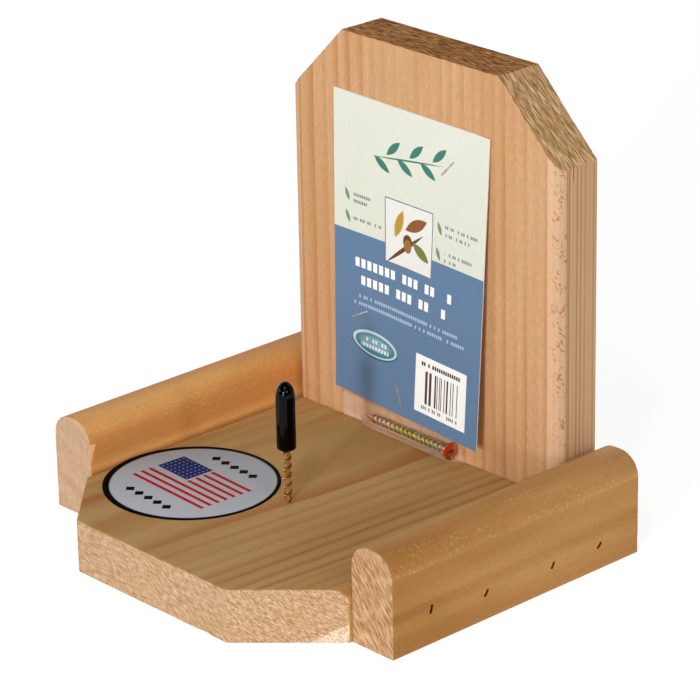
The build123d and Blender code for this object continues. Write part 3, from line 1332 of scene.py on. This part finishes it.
@dataclass
class LabelCard:
    """The card: flat on the board to the left of two staples, and leaning forward to their right."""

    print_finish: Material
    back_finish: Material
    piece: str = "label_card_sheet"
    node: str = "label_card"
    layer: str = "print"
    width: float = 108.4 * MM
    height: float = 158.7 * MM
    thickness: float = 0.4 * MM
    middle_x: float = -6.5 * MM
    middle_z: float = 120.5 * MM
    tilt: float = 0.9
    bend_radius: float = 170.0 * MM
    lean: float = 4.9
    ripple: float = 0.1 * MM
    ripple_pitch: float = 30.0
    cells: tuple[int, int] = (72, 106)

    def bent(self, flat: Vector) -> Vector:
        """Leans a place on the flat card forward past the line through two staples.

        Args:
            flat: The place, as x, 0 and z on the board.

        Returns:
            The place on the bent card, with y forward of the board's face as a negative number.
        """
        start, way = card_bend()
        free = Vector((way.z, 0.0, -way.x))
        past = max(0.0, (flat - start) @ free)
        turn = min(past / self.bend_radius, math.radians(self.lean))
        rest = past - turn * self.bend_radius
        reach = self.bend_radius * math.sin(turn) + rest * math.cos(turn)
        lift = self.bend_radius * (1 - math.cos(turn)) + rest * math.sin(turn)
        lift += self.ripple * abs(noise.noise(flat * self.ripple_pitch))
        return flat + free * (reach - past) - lift * BACK

    def build(self) -> None:
        """Makes the bent sheet with its print and its plain back."""
        _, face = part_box(self.node)
        bm = bmesh.new()
        across, up = self.cells
        bmesh.ops.create_grid(bm, x_segments=across, y_segments=up, size=0.5, calc_uvs=False)
        bmesh.ops.scale(bm, vec=(self.width, self.height, 1.0), verts=bm.verts)
        uv = bm.loops.layers.uv.new(self.layer)
        for grid_face in bm.faces:
            for loop in grid_face.loops:
                loop[uv].uv = loop.vert.co.xy / MM
        upright = Matrix.Rotation(math.radians(self.tilt), 4, "Y") @ Matrix.Rotation(QUARTER, 4, "X")
        upright = Matrix.Translation((self.middle_x, 0.0, self.middle_z)) @ upright
        bmesh.ops.transform(bm, matrix=upright, verts=bm.verts)
        for vert in bm.verts:
            vert.co = self.bent(vert.co) + (face.y - self.thickness) * BACK
        bm.normal_update()
        if bm.faces[:][0].normal.y > 0:
            bmesh.ops.reverse_faces(bm, faces=bm.faces)
        bmesh.ops.solidify(bm, geom=bm.faces[:], thickness=self.thickness)
        bm.normal_update()
        for other in bm.faces:
            other.material_index = 0 if other.normal.y < -0.5 else 1
        piece = new_piece(self.piece, bm, [self.print_finish, self.back_finish])
        shade(piece, 40.0)
        fit_in(piece, FEEDER, "printed_card", self.node)


@dataclass
class Staple:
    """A staple of flattened wire: a crown on the card and two bent legs."""

    name: str
    slope: float
    finish: Material
    lean: float = 0.0
    crown: float = 12.4 * MM
    wire: tuple[float, float] = (0.9 * MM, 0.5 * MM)
    bend: float = 0.7 * MM
    leg: float = 6.0 * MM
    ease: float = 0.12 * MM

    def build(self) -> None:
        """Extrudes and bends the wire, and brings it to its place."""
        node = f"card_staple_{self.name}"
        low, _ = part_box(node)
        spot = middle_of(node)
        wide, thick = self.wire
        bm = bmesh.new()
        half = self.crown / 2 - self.bend
        verts = bmesh.ops.create_grid(bm, x_segments=1, y_segments=1, size=0.5)["verts"]
        turn = Matrix.Rotation(QUARTER, 4, "Y") @ Matrix.Diagonal((thick, wide, 1.0, 1.0))
        bmesh.ops.transform(bm, matrix=Matrix.Translation((0.0, 0.0, -thick / 2)) @ turn, verts=verts)
        end = self.extend(bm, bm.faces[:], half * RIGHT)
        made = bmesh.ops.spin(
            bm, geom=end, cent=(half, 0.0, -self.bend), axis=(0, 1, 0), angle=QUARTER, steps=5
        )["geom_last"]
        self.extend(bm, only(made, BMFace), -self.leg * UP)
        inner = [f for f in bm.faces if all(abs(v.co.x) < MERGE for v in f.verts)]
        bmesh.ops.delete(bm, geom=inner, context="FACES_ONLY")
        bmesh.ops.mirror(bm, geom=whole(bm), axis="X", merge_dist=MERGE)
        close_up(bm)
        bmesh.ops.holes_fill(bm, edges=bm.edges)
        long_edges = [e for e in bm.edges if e.is_manifold and e.calc_face_angle() > math.radians(60)]
        bevel(bm, long_edges, self.ease)
        facing_out = Matrix.Rotation(QUARTER, 4, "X")
        lean = Matrix.Rotation(-math.radians(self.slope), 4, "Y")
        tilt = math.radians(self.lean)
        spot.y = low.y + 0.42 * self.crown * math.sin(tilt)
        middle = Matrix.Translation(spot)
        middle @= Matrix.Rotation(-tilt, 4, card_bend()[1])
        bmesh.ops.transform(bm, matrix=middle @ lean @ facing_out, verts=bm.verts)
        close_up(bm)
        piece = new_piece(f"{node}_wire", bm, [self.finish])
        shade(piece)
        fit_in(piece, FEEDER, "staple_wire", node)

    def extend(
        self, bm: BMesh, end: list[BMFace], way: Vector
    ) -> list[BMFace]:
        """Draws the wire out straight.

        Args:
            bm: The mesh.
            end: The face that is drawn out.
            way: How far it goes.

        Returns:
            The face at the new end.
        """
        made = bmesh.ops.extrude_face_region(bm, geom=end)["geom"]
        bmesh.ops.translate(bm, vec=way, verts=only(made, BMVert))
        return only(made, BMFace)


@dataclass
class RoundSticker:
    """The round sticker on the platform."""

    finish: Material
    piece: str = "round_sticker_film"
    node: str = "round_sticker"
    segments: int = 144
    ease: float = 0.08 * MM

    def build(self) -> None:
        """Makes the disc with an eased rim and fits it in."""
        low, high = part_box(self.node)
        middle = middle_of(self.node)
        bm = rod((high.x - low.x) / 2, high.z - low.z, self.segments, Matrix.Translation(middle))
        bevel(bm, [e for e in bm.edges if all(v.co.z > middle.z for v in e.verts)], self.ease)
        piece = new_piece(self.piece, bm, [self.finish])
        shade(piece)
        fit_in(piece, FEEDER, "sticker_film", self.node)


@dataclass
class HardwareBag:
    """The clear bag: film that hangs from the board round the screw, pressed flat at its two seals."""

    finish: Material
    screw: ScrewPlace
    piece: str = "clear_bag_film"
    node: str = "hardware_bag"
    head_slack: float = 5.0 * MM
    tip_slack: float = 3.3 * MM
    left_seal: float = 13.0 * MM
    right_seal: float = 2.5 * MM
    slump: float = 10.0 * MM
    seal_share: float = 0.05
    crumple: float = 0.3 * MM
    cells: tuple[int, int] = (170, 72)

    def section(self, share: float, middle: Vector, radius: float, top: Vector) -> Vector:
        """Works out a point of the film: taut from the top, round under the screw, and up the board.

        Args:
            share: How far round the point is, from 0 to 1.
            middle: The screw's distance from the board and its height.
            radius: How far the film is from the screw's middle.
            top: The same for the film's top edge.

        Returns:
            The point's distance from the board and its height.
        """
        reach = top - middle
        start = math.atan2(reach.y, reach.x) - math.acos(radius / reach.length)
        line = math.sqrt(reach.length_squared - radius**2)
        arc = radius * (start + math.pi)
        walk = share * (line + arc + top.y - middle.y)
        if walk < line:
            return top.lerp(middle + radius * Vector((math.cos(start), math.sin(start))), walk / line)
        if walk < line + arc:
            angle = start - (walk - line) / radius
            fin = (middle.y - radius) * math.exp(-(((angle + QUARTER) / 0.3) ** 2))
            return middle + Vector((radius * math.cos(angle), radius * math.sin(angle) - 0.9 * fin))
        back = Vector((middle.x - radius, middle.y))
        return back.lerp(top, (walk - line - arc) / (top.y - middle.y))

    def swell(self, x: float, low: float, high: float) -> float:
        """Works out how far the film stands open.

        Args:
            x: The place along the bag.
            low: The bag's left end.
            high: Its right end.

        Returns:
            The share, from 0 at the seals to 1.
        """
        from_left = (x - low - self.left_seal) / self.slump
        from_right = (high - self.right_seal - x) / (0.45 * self.slump)
        return math.sin(max(0.0, min(1.0, from_left, from_right)) * QUARTER) ** 0.8

    def film_point(self, x: float, share: float) -> Vector:
        """Works out the place of a point of the film.

        Args:
            x: Its place along the bag.
            share: How far round the bag it is, from 0 to 1.

        Returns:
            The place.
        """
        low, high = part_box(self.node)
        swell = self.swell(x, low.x, high.x)
        gone = min(max((self.screw.head.x - x) / self.screw.length, 0.0), 1.0)
        axis = self.screw.head + self.screw.way * self.screw.length * gone
        radius = self.head_slack + (self.tip_slack - self.head_slack) * gone
        middle = Vector((max(high.y - axis.y, radius + 0.05 * MM), axis.z - low.z))
        top = Vector((0.3 * MM, (high.z - low.z) * (0.98 - 0.05 * noise.noise(Vector((x * 60, 0.0, 4.0))))))
        point = self.section(share, middle, radius, top)
        fold = noise.noise(Vector((x * 110, point.x * 420, point.y * 420)))
        fold += 0.6 * (1 - 2 * abs(noise.noise(Vector((x * 190, point.x * 250, point.y * 250 + 9.0)))))
        fore = point.x * (self.seal_share + (1 - self.seal_share) * swell) + self.crumple * swell * fold
        fore = min(max(fore, 0.03 * MM), high.y - low.y)
        rise = max(point.y + 0.5 * self.crumple * fold, 0.08 * MM)
        return Vector((x, high.y - fore, low.z + rise))

    def build(self) -> None:
        """Rolls a sheet of film into the pocket, crumples it and fits it in."""
        low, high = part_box(self.node)
        across, around = self.cells
        bm = bmesh.new()
        bmesh.ops.create_grid(bm, x_segments=across, y_segments=around, size=0.5)
        for vert in bm.verts:
            x = low.x + (vert.co.x + 0.5) * (high.x - low.x)
            vert.co = self.film_point(x, vert.co.y + 0.5)
        close_up(bm)
        bmesh.ops.holes_fill(bm, edges=[e for e in bm.edges if e.is_boundary])
        close_up(bm)
        piece = new_piece(self.piece, bm, [self.finish])
        shade(piece, 60.0)
        fit_in(piece, FEEDER, "clear_film", self.node)


@dataclass(frozen=True)
class Lamp:
    """A soft lamp that looks at the feeder: its place round it, its size and its power."""

    name: str
    azimuth: float
    elevation: float
    size: float
    power: float
    colour: tuple[float, float, float] = (1.0, 1.0, 1.0)
    stretch: float = 1.0
    distance: float = 3.0
    aim_height: float = 90.0 * MM

    def build(self) -> None:
        """Adds the lamp to the scene."""
        data = bpy.data.lights.new(self.name, "AREA")
        data.shape = "RECTANGLE"
        data.size = self.size
        data.size_y = self.size * self.stretch
        data.energy = self.power
        data.color = self.colour
        way = facing(self.azimuth, self.elevation)
        place = self.aim_height * UP + way * self.distance
        link_new(self.name, data).matrix_world = pointed(place, way)


@dataclass
class Studio:
    """The pale floor, the soft lights and the camera."""

    lamps: tuple[Lamp, ...]
    ambient: float = 0.33
    room: float = 0.05
    shadow: float = 0.35
    floor_light: float = 0.48
    floor_half: float = 6.0
    lens: float = 186.88
    sensor: float = 36.0
    camera_at: Vector = field(default_factory=lambda: Vector((1190.89, -1068.86, 751.12)) * MM)
    azimuth: float = 47.3664
    elevation: float = 22.1522
    roll: float = -1.0807

    def camera(self) -> None:
        """Sets up the camera at the photograph's place."""
        data = bpy.data.cameras.new("camera")
        data.lens = self.lens
        data.sensor_width = self.sensor
        camera = link_new("camera", data)
        back = facing(self.azimuth, self.elevation)
        level = facing(self.azimuth + 90.0, 0.0)
        right = Matrix.Rotation(math.radians(self.roll), 3, back) @ level
        axes = Matrix((right, back.cross(right), back)).transposed()
        camera.matrix_world = Matrix.Translation(self.camera_at) @ axes.to_4x4()
        bpy.context.scene.camera = camera

    def world(self) -> None:
        """Lights the scene from all round, with white behind the feeder and a dim room before it."""
        world = bpy.data.worlds.new("studio")
        bpy.context.scene.world = world
        sheet = NodeSheet(world)
        paths = sheet.add("ShaderNodeLightPath", {}).outputs
        way = sheet.add("ShaderNodeTexCoord", {}).outputs["Generated"]
        front = sheet.vector("DOT_PRODUCT", way, tuple(facing(self.azimuth, self.elevation)))
        shown = sheet.smooth(front, -0.35, 0.45, 1.0 - self.ambient, self.room - self.ambient)
        level = sheet.math("MULTIPLY_ADD", paths["Is Glossy Ray"], shown, self.ambient)
        level = sheet.most(level, paths["Is Camera Ray"], paths["Is Transmission Ray"])
        plain = sheet.tree.nodes["Background"]
        sheet.feed(plain.inputs["Color"], WHITE)
        sheet.feed(plain.inputs["Strength"], level)

    def floor(self) -> None:
        """Lays a white floor that keeps a share of the feeder's shadow."""
        bm = bmesh.new()
        bmesh.ops.create_grid(bm, x_segments=1, y_segments=1, size=self.floor_half)
        sheet = NodeSheet.named("floor_white")
        pale = sheet.level(sheet.place(), 3.0, 2.0)
        share = sheet.smooth(pale, 0.3, 0.7, 0.0, 0.2)
        colour = sheet.blend(share, tone(244, 244, 244), tone(238, 238, 238))
        sheet.surface(Base_Color=colour, Roughness=0.9, Specular_IOR_Level=0.0)
        strength = (1 - self.shadow * self.floor_light) / (1 - self.shadow)
        glow = sheet.add("ShaderNodeEmission", {"Color": WHITE, "Strength": strength})
        paths = sheet.add("ShaderNodeLightPath", {}).outputs
        seen = sheet.most(*(paths[f"Is {kind} Ray"] for kind in ("Camera", "Glossy", "Transmission")))
        mix = sheet.add("ShaderNodeMixShader", {0: sheet.product(seen, 1 - self.shadow)})
        sheet.feed(mix.inputs[1], sheet.tree.nodes["Principled BSDF"].outputs[0])
        sheet.feed(mix.inputs[2], glow.outputs[0])
        sheet.feed(sheet.tree.nodes["Material Output"].inputs["Surface"], mix.outputs[0])
        new_piece("floor", bm, [sheet.owner])

    def build(self) -> None:
        """Sets up the camera, the lights and the floor."""
        self.camera()
        self.world()
        for lamp in self.lamps:
            lamp.build()
        self.floor()


def platform() -> CedarBoard:
    """Describes the platform: flat-sawn, with broad wandering streaks and clipped front corners.

    Returns:
        The platform.
    """
    wood = CedarWood(
        name="cedar_platform", grain=Grain.FRONT_TO_BACK, pith=Vector((-30.0, 0.0, -85.0)) * MM,
        ring=4.6 * MM, waver=5.0 * MM, early=tone(193, 153, 96), late=tone(168, 104, 47),
        blush=tone(183, 137, 78), fleck=tone(206, 164, 110), late_span=(0.4, 0.78, 0.85), uneven=1.2,
        lean=-0.05, stretch=0.13, line_strength=0.85,
    )
    front = SawCut(
        name="front_cut", base=tone(204, 170, 132), dark=tone(158, 100, 46), pale=tone(238, 216, 186),
        stroke=Vector((0.93, 0.0, -0.37)), normal=BACK, contrast=0.75,
    )
    clips = SawCut(
        name="clip_cut", base=tone(204, 168, 130), dark=tone(162, 104, 50), pale=tone(240, 220, 190),
        stroke=Vector((0.55, 0.55, -0.63)), normal=Vector((1.0, -1.0, 0.0)).normalized(), length=6.0,
        contrast=0.8, mirrored=True, sapwood=(Vector((0.344, 0.344, -1.0)), 2.2 * MM),
    )
    cuts: list[Gouge | Bore] = [
        Gouge(Vector((37.0, -102.1, -0.1)) * MM, Vector((9.0, 1.5, 1.5)) * MM, (45.0, 0.0, 4.0))
    ]
    heads = {"corn_screw": 5.5, "back_board_screw_left": 4.4, "back_board_screw_right": 4.4}
    for node, radius in heads.items():
        low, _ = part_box(node)
        middle = Vector((*middle_of(node).xy, 0.0))
        cuts.append(Bore(middle, UP, radius * MM, 2 * low.z + 0.3 * MM))
    return CedarBoard(
        "platform_cedar", "platform_board", wood, edge_radius=6.5 * MM, end_cut=front, clip_cut=clips,
        clip=40.0 * MM, clip_end=-BACK, cuts=cuts,
    )


def back_board() -> CedarBoard:
    """Describes the back board: straight-grained, with torn rounded edges and clipped top corners.

    Returns:
        The back board.
    """
    wood = CedarWood(
        name="cedar_back", grain=Grain.UPRIGHT, pith=Vector((-500.0, -1340.0, 0.0)) * MM,
        ring=2.55 * MM, waver=0.55 * MM, early=tone(208, 163, 120), late=tone(182, 120, 60),
        blush=tone(202, 152, 106), fleck=tone(221, 186, 153), lip=81.7 * MM,
    )
    top = SawCut(
        name="top_cut", base=tone(178, 112, 48), dark=tone(98, 52, 12), pale=tone(222, 168, 104),
        stroke=Vector((1.0, 0.04, 0.0)), normal=UP, pitch=0.95 * MM, length=7.0, contrast=0.95,
        pale_share=0.9, depth=0.5 * MM,
    )
    clips = SawCut(
        name="clip_cut", base=tone(206, 160, 106), dark=tone(118, 70, 26), pale=tone(246, 216, 172),
        stroke=Vector((0.70, 0.125, -0.70)), normal=Vector((1.0, 0.0, 1.0)).normalized(),
        pitch=0.6 * MM, length=15.0, contrast=0.8, pale_share=0.9, mirrored=True,
    )
    hole = Bore(Vector((0.0, 88.5, 165.0)) * MM, BACK, radius=2.6 * MM, length=40.0 * MM)
    crack = Gouge(Vector((92.0, 85.8, 189.0)) * MM, Vector((1.6, 0.4, 8.0)) * MM, (2.0, 0.0, 0.0))
    return CedarBoard(
        "back_board_cedar", "back_board", wood, edge_radius=6.5 * MM, end_cut=top, clip_cut=clips,
        clip=38.5 * MM, rounded=-BACK, wear=Wear.TORN, cuts=[hole, crack],
    )


def nail_slots(rail: str, side: float) -> list[Gouge]:
    """Reads where the nail gun drove its nails into a rail's outer face.

    Args:
        rail: The rail's node.
        side: 1 on the right and -1 on the left.

    Returns:
        The slots above the nails' heads.
    """
    low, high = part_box(rail)
    slots = []
    for number, (turn, length) in enumerate(((16.0, 4.4), (35.0, 3.8), (30.0, 3.8), (45.0, 3.7)), 1):
        middle = middle_of(f"{rail}_nail_{number}")
        middle.x = high.x if side > 0 else low.x
        size = Vector((3.2, 1.6, length)) * MM
        slots.append(Gouge(middle, size, (-side * turn, 0.0, 0.0), Zone.BRUISE_AND_SHADE))
    return slots


def rail(name: str, side: float) -> CedarBoard:
    """Describes a side rail: long wavy bands, with a rounded top and a row of nails.

    Args:
        name: The rail's node.
        side: 1 on the right and -1 on the left.

    Returns:
        The rail.
    """
    right = side > 0
    # The left rail's early, late and blush are brighter and more orange than the right's: partly its own
    # tone, partly painted warm bounce light on its shaded inner face.
    wood = CedarWood(
        name=f"cedar_{name}", grain=Grain.FRONT_TO_BACK, pith=Vector((side * 150.0, 0.0, -60.0)) * MM,
        ring=14.0 * MM, waver=3.5 * MM, early=tone(202, 150, 88) if right else tone(232, 172, 98),
        late=tone(160, 100, 44) if right else tone(194, 116, 50),
        blush=tone(184, 131, 66) if right else tone(220, 156, 86), fleck=tone(226, 186, 132),
        late_span=(0.05, 0.6, 0.8), uneven=1.2, line_strength=0.7, gleam=0.3,
    )
    end = SawCut(
        name="end_cut", base=tone(206, 166, 122) if right else tone(208, 174, 144),
        dark=tone(150, 94, 42) if right else tone(176, 130, 90),
        pale=tone(236, 208, 172) if right else tone(232, 208, 184), stroke=Vector((0.6, 0.0, -0.8)),
        normal=BACK, pitch=0.75 * MM if right else 0.55 * MM, length=10.0,
        contrast=0.9 if right else 0.55, pale_share=0.4,
    )
    # The chip's split face is paler than the end cut: partly fresh split wood, partly painted light on a
    # facet that the lamps leave in shade.
    splinter = SawCut(
        name="splinter", base=tone(232, 186, 138), dark=tone(204, 150, 96), pale=tone(246, 212, 170),
        stroke=Vector((0.0, 0.2, 1.0)), normal=RIGHT,
    )
    # Near-black brown for the nail slots' walls: bruised wood, with the shade inside the slots painted in.
    bruise_and_shade = SawCut(
        name="bruise_and_shade", base=tone(96, 38, 20), dark=tone(52, 20, 12), pale=tone(140, 74, 36),
        stroke=BACK, normal=RIGHT,
    )
    slots = nail_slots(name, side)
    dents = [Dent(slot.middle, 3.0 * MM, side * 0.22 * MM * RIGHT) for slot in slots]
    spot, size = Vector((-90.6, -59.73, 34.5)) * MM, Vector((6.0, 14.0, 13.0)) * MM
    chip = Gouge(spot, size, (0.0, -8.3, -24.2), Zone.CLIP)
    return CedarBoard(
        f"{name}_cedar", name, wood, edge_radius=11.5 * MM, end_cut=end, clip_cut=splinter,
        bruise_and_shade=bruise_and_shade, wear=Wear.FLECKED, tear=0.08 * MM, step=1.6 * MM, dents=dents,
        cuts=slots if right else [*slots, chip],
    )


def card_words(
    ink: Colour, rows: Iterable[tuple[float, float, float]], height: float, step: float
) -> list[InkShape]:
    """Lays out rows of plain blocks where a card has words.

    Args:
        ink: Their colour.
        rows: Each row's middle and half length, in millimetres.
        height: A row's half height.
        step: The length of one block and its gap.

    Returns:
        The rows.
    """
    made = []
    for number, (x, y, half) in enumerate(rows):
        count, seed = round(2 * half / step), 40.0 + 3 * number
        made.append(InkMarks(ink, (x, y), (half, height), count=count, gap=0.15, seed=seed, fill=0.7))
    return made


def card_print() -> Material:
    """Makes the card's print: cream over steel blue, with plain blocks where words would be.

    Returns:
        The material.
    """
    cream, blue, white = tone(225, 226, 211), tone(101, 129, 160), tone(252, 252, 250)
    green, ink, grey = tone(112, 150, 110), tone(60, 48, 44), tone(128, 130, 118)
    frost = tone(226, 234, 236)
    inks: list[InkShape] = [InkShape(blue, (0.0, -36.6), (56.0, 44.6), 0.6)]
    inks += [
        InkLeaf(green, place, (3.6, 1.2), -66.0)
        for place in ((-44.8, 26.2), (-44.5, 14.7), (20.8, 25.5), (20.3, 12.5))
    ]
    small = [(-34.4, 27.0, 6.0), (-35.4, 23.6, 5.0), (-30.6, 14.4, 10.0)]
    small += [(36.8, 27.4, 12.0), (34.2, 23.4, 9.0), (35.0, 14.0, 10.0), (30.0, 10.4, 5.0)]
    inks += card_words(grey, small, 0.8, 1.3)
    inks += card_words(white, [(-1.2, -8.0, 38.0), (-1.2, -17.0, 34.0)], 2.4, 4.3)
    inks += card_words(tone(178, 196, 216), [(0.2, -25.8, 38.5), (0.2, -29.8, 42.0)], 0.85, 1.6)
    inks += [
        InkShape(tone(112, 124, 140), (-1.0, 14.9), (17.0, 17.0)),
        InkShape(tone(236, 234, 228), (-1.0, 14.9), (16.4, 16.4)),
        InkLeaf(tone(108, 70, 42), (-4.0, 8.0), (17.0, 1.1), 38.0),
        InkLeaf(tone(190, 150, 60), (-8.0, 20.0), (8.0, 2.6), 70.0),
        InkLeaf(tone(144, 92, 52), (4.0, 22.0), (8.5, 3.0), 28.0),
        InkLeaf(tone(120, 128, 66), (7.5, 9.0), (7.0, 2.6), -30.0),
        InkOval(tone(110, 64, 38), (-2.0, 12.0), (3.2, 3.8)),
        InkOval(tone(158, 110, 60), (-2.0, 9.8), (2.7, 3.6)),
    ]
    inks += [
        InkOval(tone(58, 112, 124), (-24.4, -48.9), (17.6, 7.4)),
        InkOval(tone(198, 216, 220), (-24.4, -48.5), (17.0, 6.6)),
        InkOval(tone(72, 128, 140), (-24.4, -48.9), (15.2, 5.4)),
        InkOval(tone(128, 172, 186), (-24.4, -48.2), (15.0, 4.8), soft=0.5),
        InkMarks(frost, (-24.4, -47.2), (9.5, 1.0), count=8, gap=0.1, seed=60.0, fill=0.7),
        InkMarks(frost, (-24.4, -50.6), (10.5, 1.0), count=9, gap=0.1, seed=70.0, fill=0.7),
        InkShape(white, (26.0, -57.6), (19.0, 15.0)),
        InkMarks(ink, (26.0, -46.6), (14.5, 1.0), count=18, gap=0.12, seed=7.0, fill=0.75),
        InkMarks(tone(84, 62, 54), (25.8, -58.6), (13.6, 8.6), count=46, gap=0.5, seed=3.0),
        InkMarks(grey, (25.8, -69.4), (13.6, 0.9), count=20, gap=0.3, seed=5.0, fill=0.7),
    ]
    stem = tone(66, 126, 112)
    inks.append(InkLeaf(stem, (-2.0, 54.0), (26.0, 0.45), 8.0))
    for number in range(6):
        lean = 42.0 if number % 2 else -32.0
        offset = 4.6 if number % 2 else -4.2
        inks.append(InkLeaf(stem, (-20.0 + 8.0 * number, 52.0 + 1.1 * number + offset), (6.4, 2.0), lean))
    finish = PrintFinish("card_print", cream, tuple(inks), roughness=0.38)
    sheet = NodeSheet.named(finish.name)
    return finish.material(sheet, sheet.print_place("print"))


def card_back() -> Material:
    """Makes the card's bare back and edges.

    Returns:
        The material.
    """
    finish = PrintFinish("card_back", tone(226, 222, 212), (), roughness=0.7)
    sheet = NodeSheet.named(finish.name)
    return finish.material(sheet, sheet.place())


def sticker_print() -> Material:
    """Makes the sticker's print: a black rim, red stripes and a spotted blue panel.

    Returns:
        The material.
    """
    middle = middle_of("round_sticker")
    black, white, red = tone(8, 7, 7), tone(186, 187, 192), tone(190, 34, 34)
    inks = (
        InkOval(white, (0.7, 0.3), (41.2, 41.2)),
        InkStripes(red, (0.0, 0.0), (27.5, 15.6), count=7, share=0.42),
        InkShape(white, (-15.4, 8.0), (12.6, 9.0)),
        InkShape(tone(38, 42, 98), (-15.8, 8.2), (11.6, 8.2)),
        InkSpots(tone(116, 124, 170), (-15.8, 8.2), (11.0, 7.6), columns=7, rows=6, size=0.25),
        *(
            InkSpots(black, (0.0, up), (18.0, 3.6), columns=5, rows=1, size=0.4, diamond=True)
            for up in (26.5, -26.5)
        ),
    )
    finish = PrintFinish("sticker_print", black, inks, roughness=0.34, gleam=0.006)
    sheet = NodeSheet.named(finish.name)
    flat = sheet.vector("MULTIPLY", sheet.place(), (1 / MM, 1 / MM, 0.0))
    spot = (middle.x / MM, middle.y / MM, 0.0)
    place = sheet.mapped(flat, "TEXTURE", Location=spot, Rotation=(0.0, 0.0, math.radians(-3.0)))
    return finish.material(sheet, place)


def screws() -> list[WoodScrew]:
    """Lists the feeder's screws.

    Returns:
        The screws, from the corn screw to the back board's.
    """
    gold, pink, lime = tone(236, 192, 108), tone(255, 214, 196), tone(214, 200, 76)
    green, orange, head_reflection_ember = tone(206, 206, 140), tone(232, 150, 84), tone(214, 82, 44)
    rust = tone(206, 116, 64)
    corn = MetalFinish("yellow_zinc_corn", (gold, pink, gold, rust), 4 * MM, 0.1, 0.08).material()
    crest = MetalFinish("yellow_zinc_crest", (tone(196, 150, 62), lime), 3 * MM, 0.22).material()
    # Painted shade for the corn screw's thread roots and cross recess.
    dark = (tone(104, 56, 24), tone(72, 36, 18))
    painted_shade = MetalFinish("yellow_zinc_painted_shade", dark, 3 * MM, 0.4).material()
    # Along the mounting screw the plating drifts from orange at the point to lime; pale green near the head
    # paints the sheen on its cone, and ember at the head paints the head's reflection of the red-orange
    # wood.
    along = (-38 * MM, 28.7 * MM)
    inks = (orange, pink, lime, lime, green, head_reflection_ember)
    bagged = MetalFinish("yellow_zinc_bagged", inks, 9 * MM, 0.2, 0.1, along).material()
    thread = (tone(190, 120, 80), tone(176, 168, 60), tone(188, 178, 74), tone(150, 100, 60))
    bag_thread = MetalFinish("yellow_zinc_bag_thread", thread, 9 * MM, 0.26, 0.1, along).material()
    # Painted shade for the mounting screw's thread roots and cross recess.
    dark = (tone(122, 70, 48), tone(86, 78, 34), tone(84, 82, 38), tone(80, 50, 34))
    bag_painted_shade = MetalFinish("yellow_zinc_bag_painted_shade", dark, 9 * MM, 0.4, 0.1, along).material()
    hidden = MetalFinish("yellow_zinc", (gold, lime, pink), 5 * MM).material()
    made = [
        WoodScrew(
            "corn_screw_thread", "corn_screw", ScrewPlace.upright("corn_screw"), crest=2.7 * MM,
            head_radius=5.2 * MM, point=8.0 * MM, pitch=4.5 * MM, finish=corn, thread_finish=crest,
            painted_shade_finish=painted_shade, core_share=0.62, ridge=0.19,
        ),
        WoodScrew(
            "mounting_screw_thread", "mounting_screw", ScrewPlace.bagged(), crest=2.4 * MM,
            head_radius=4.6 * MM, point=7.0 * MM, pitch=3.2 * MM, finish=bagged,
            thread_finish=bag_thread, painted_shade_finish=bag_painted_shade, ridge=0.24,
        ),
    ]
    for side in ("left", "right"):
        node = f"back_board_screw_{side}"
        place, sizes = ScrewPlace.upright(node), [size * MM for size in (2.1, 4.1, 6.0, 3.0)]
        made.append(WoodScrew(f"{node}_thread", node, place, *sizes, hidden, hidden, hidden))
    return made


def dress_nails() -> None:
    """Gives the nails, which stay as the CAD made them, a dark steel: the steel's own grey darkened with the
    painted shade of the slots above them.
    """
    steel = MetalFinish("nail_steel", (tone(58, 50, 44), tone(86, 76, 66)), 4 * MM, 0.5).material()
    for name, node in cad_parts.items():
        if "_nail_" in name:
            node.data.materials.clear()
            node.data.materials.append(steel)


def main() -> None:
    """Builds the feeder, its finishes and the studio."""
    logging.basicConfig(level=logging.INFO, format="%(name)s: %(message)s")
    bpy.context.scene.view_settings.view_transform = "Standard"
    for board in (platform(), back_board(), rail("left_rail", -1.0), rail("right_rail", 1.0)):
        board.build()
    for screw in screws():
        screw.build()
    VinylCap(VinylFinish("black_vinyl", tone(1, 1, 1), tone(4, 4, 4)).material()).build()
    LabelCard(card_print(), card_back()).build()
    wire = MetalFinish("staple_wire", (tone(214, 212, 206), tone(186, 180, 170)), 3 * MM, 0.45).material()
    for name, slope, lean in (("upper", 45.0, 0.0), ("left", 29.0, 0.0), ("lower", -67.0, 4.9)):
        Staple(name, slope, wire, lean).build()
    RoundSticker(sticker_print()).build()
    # Warm cream: the film's own milky haze, with the warm wood reflected in it painted in.
    haze_and_reflection_tint = tone(248, 226, 206)
    film = FilmFinish("clear_film", haze_and_reflection_tint, clear=0.02, milky=0.12, edge=0.5, seal=-42 * MM, fold=31 * MM)
    HardwareBag(film.material(), ScrewPlace.bagged()).build()
    dress_nails()
    lamps = (
        Lamp("key", 24.0, 14.0, 0.36, 30.0),
        Lamp("spark", 23.0, 2.0, 0.16, 13.0),
        Lamp("right", 78.0, 18.0, 0.2, 8.0),
        Lamp("left", -31.0, 14.0, 0.2, 9.0),
        Lamp("window", 35.0, 48.0, 0.12, 13.0, (0.8, 0.9, 1.0), 4.0),
        Lamp("fill", 47.0, 26.0, 2.0, 10.0),
        Lamp("back", 215.0, 5.0, 2.0, 16.0),
    )
    Studio(lamps).build()


if __name__ == "__main__":
    main()
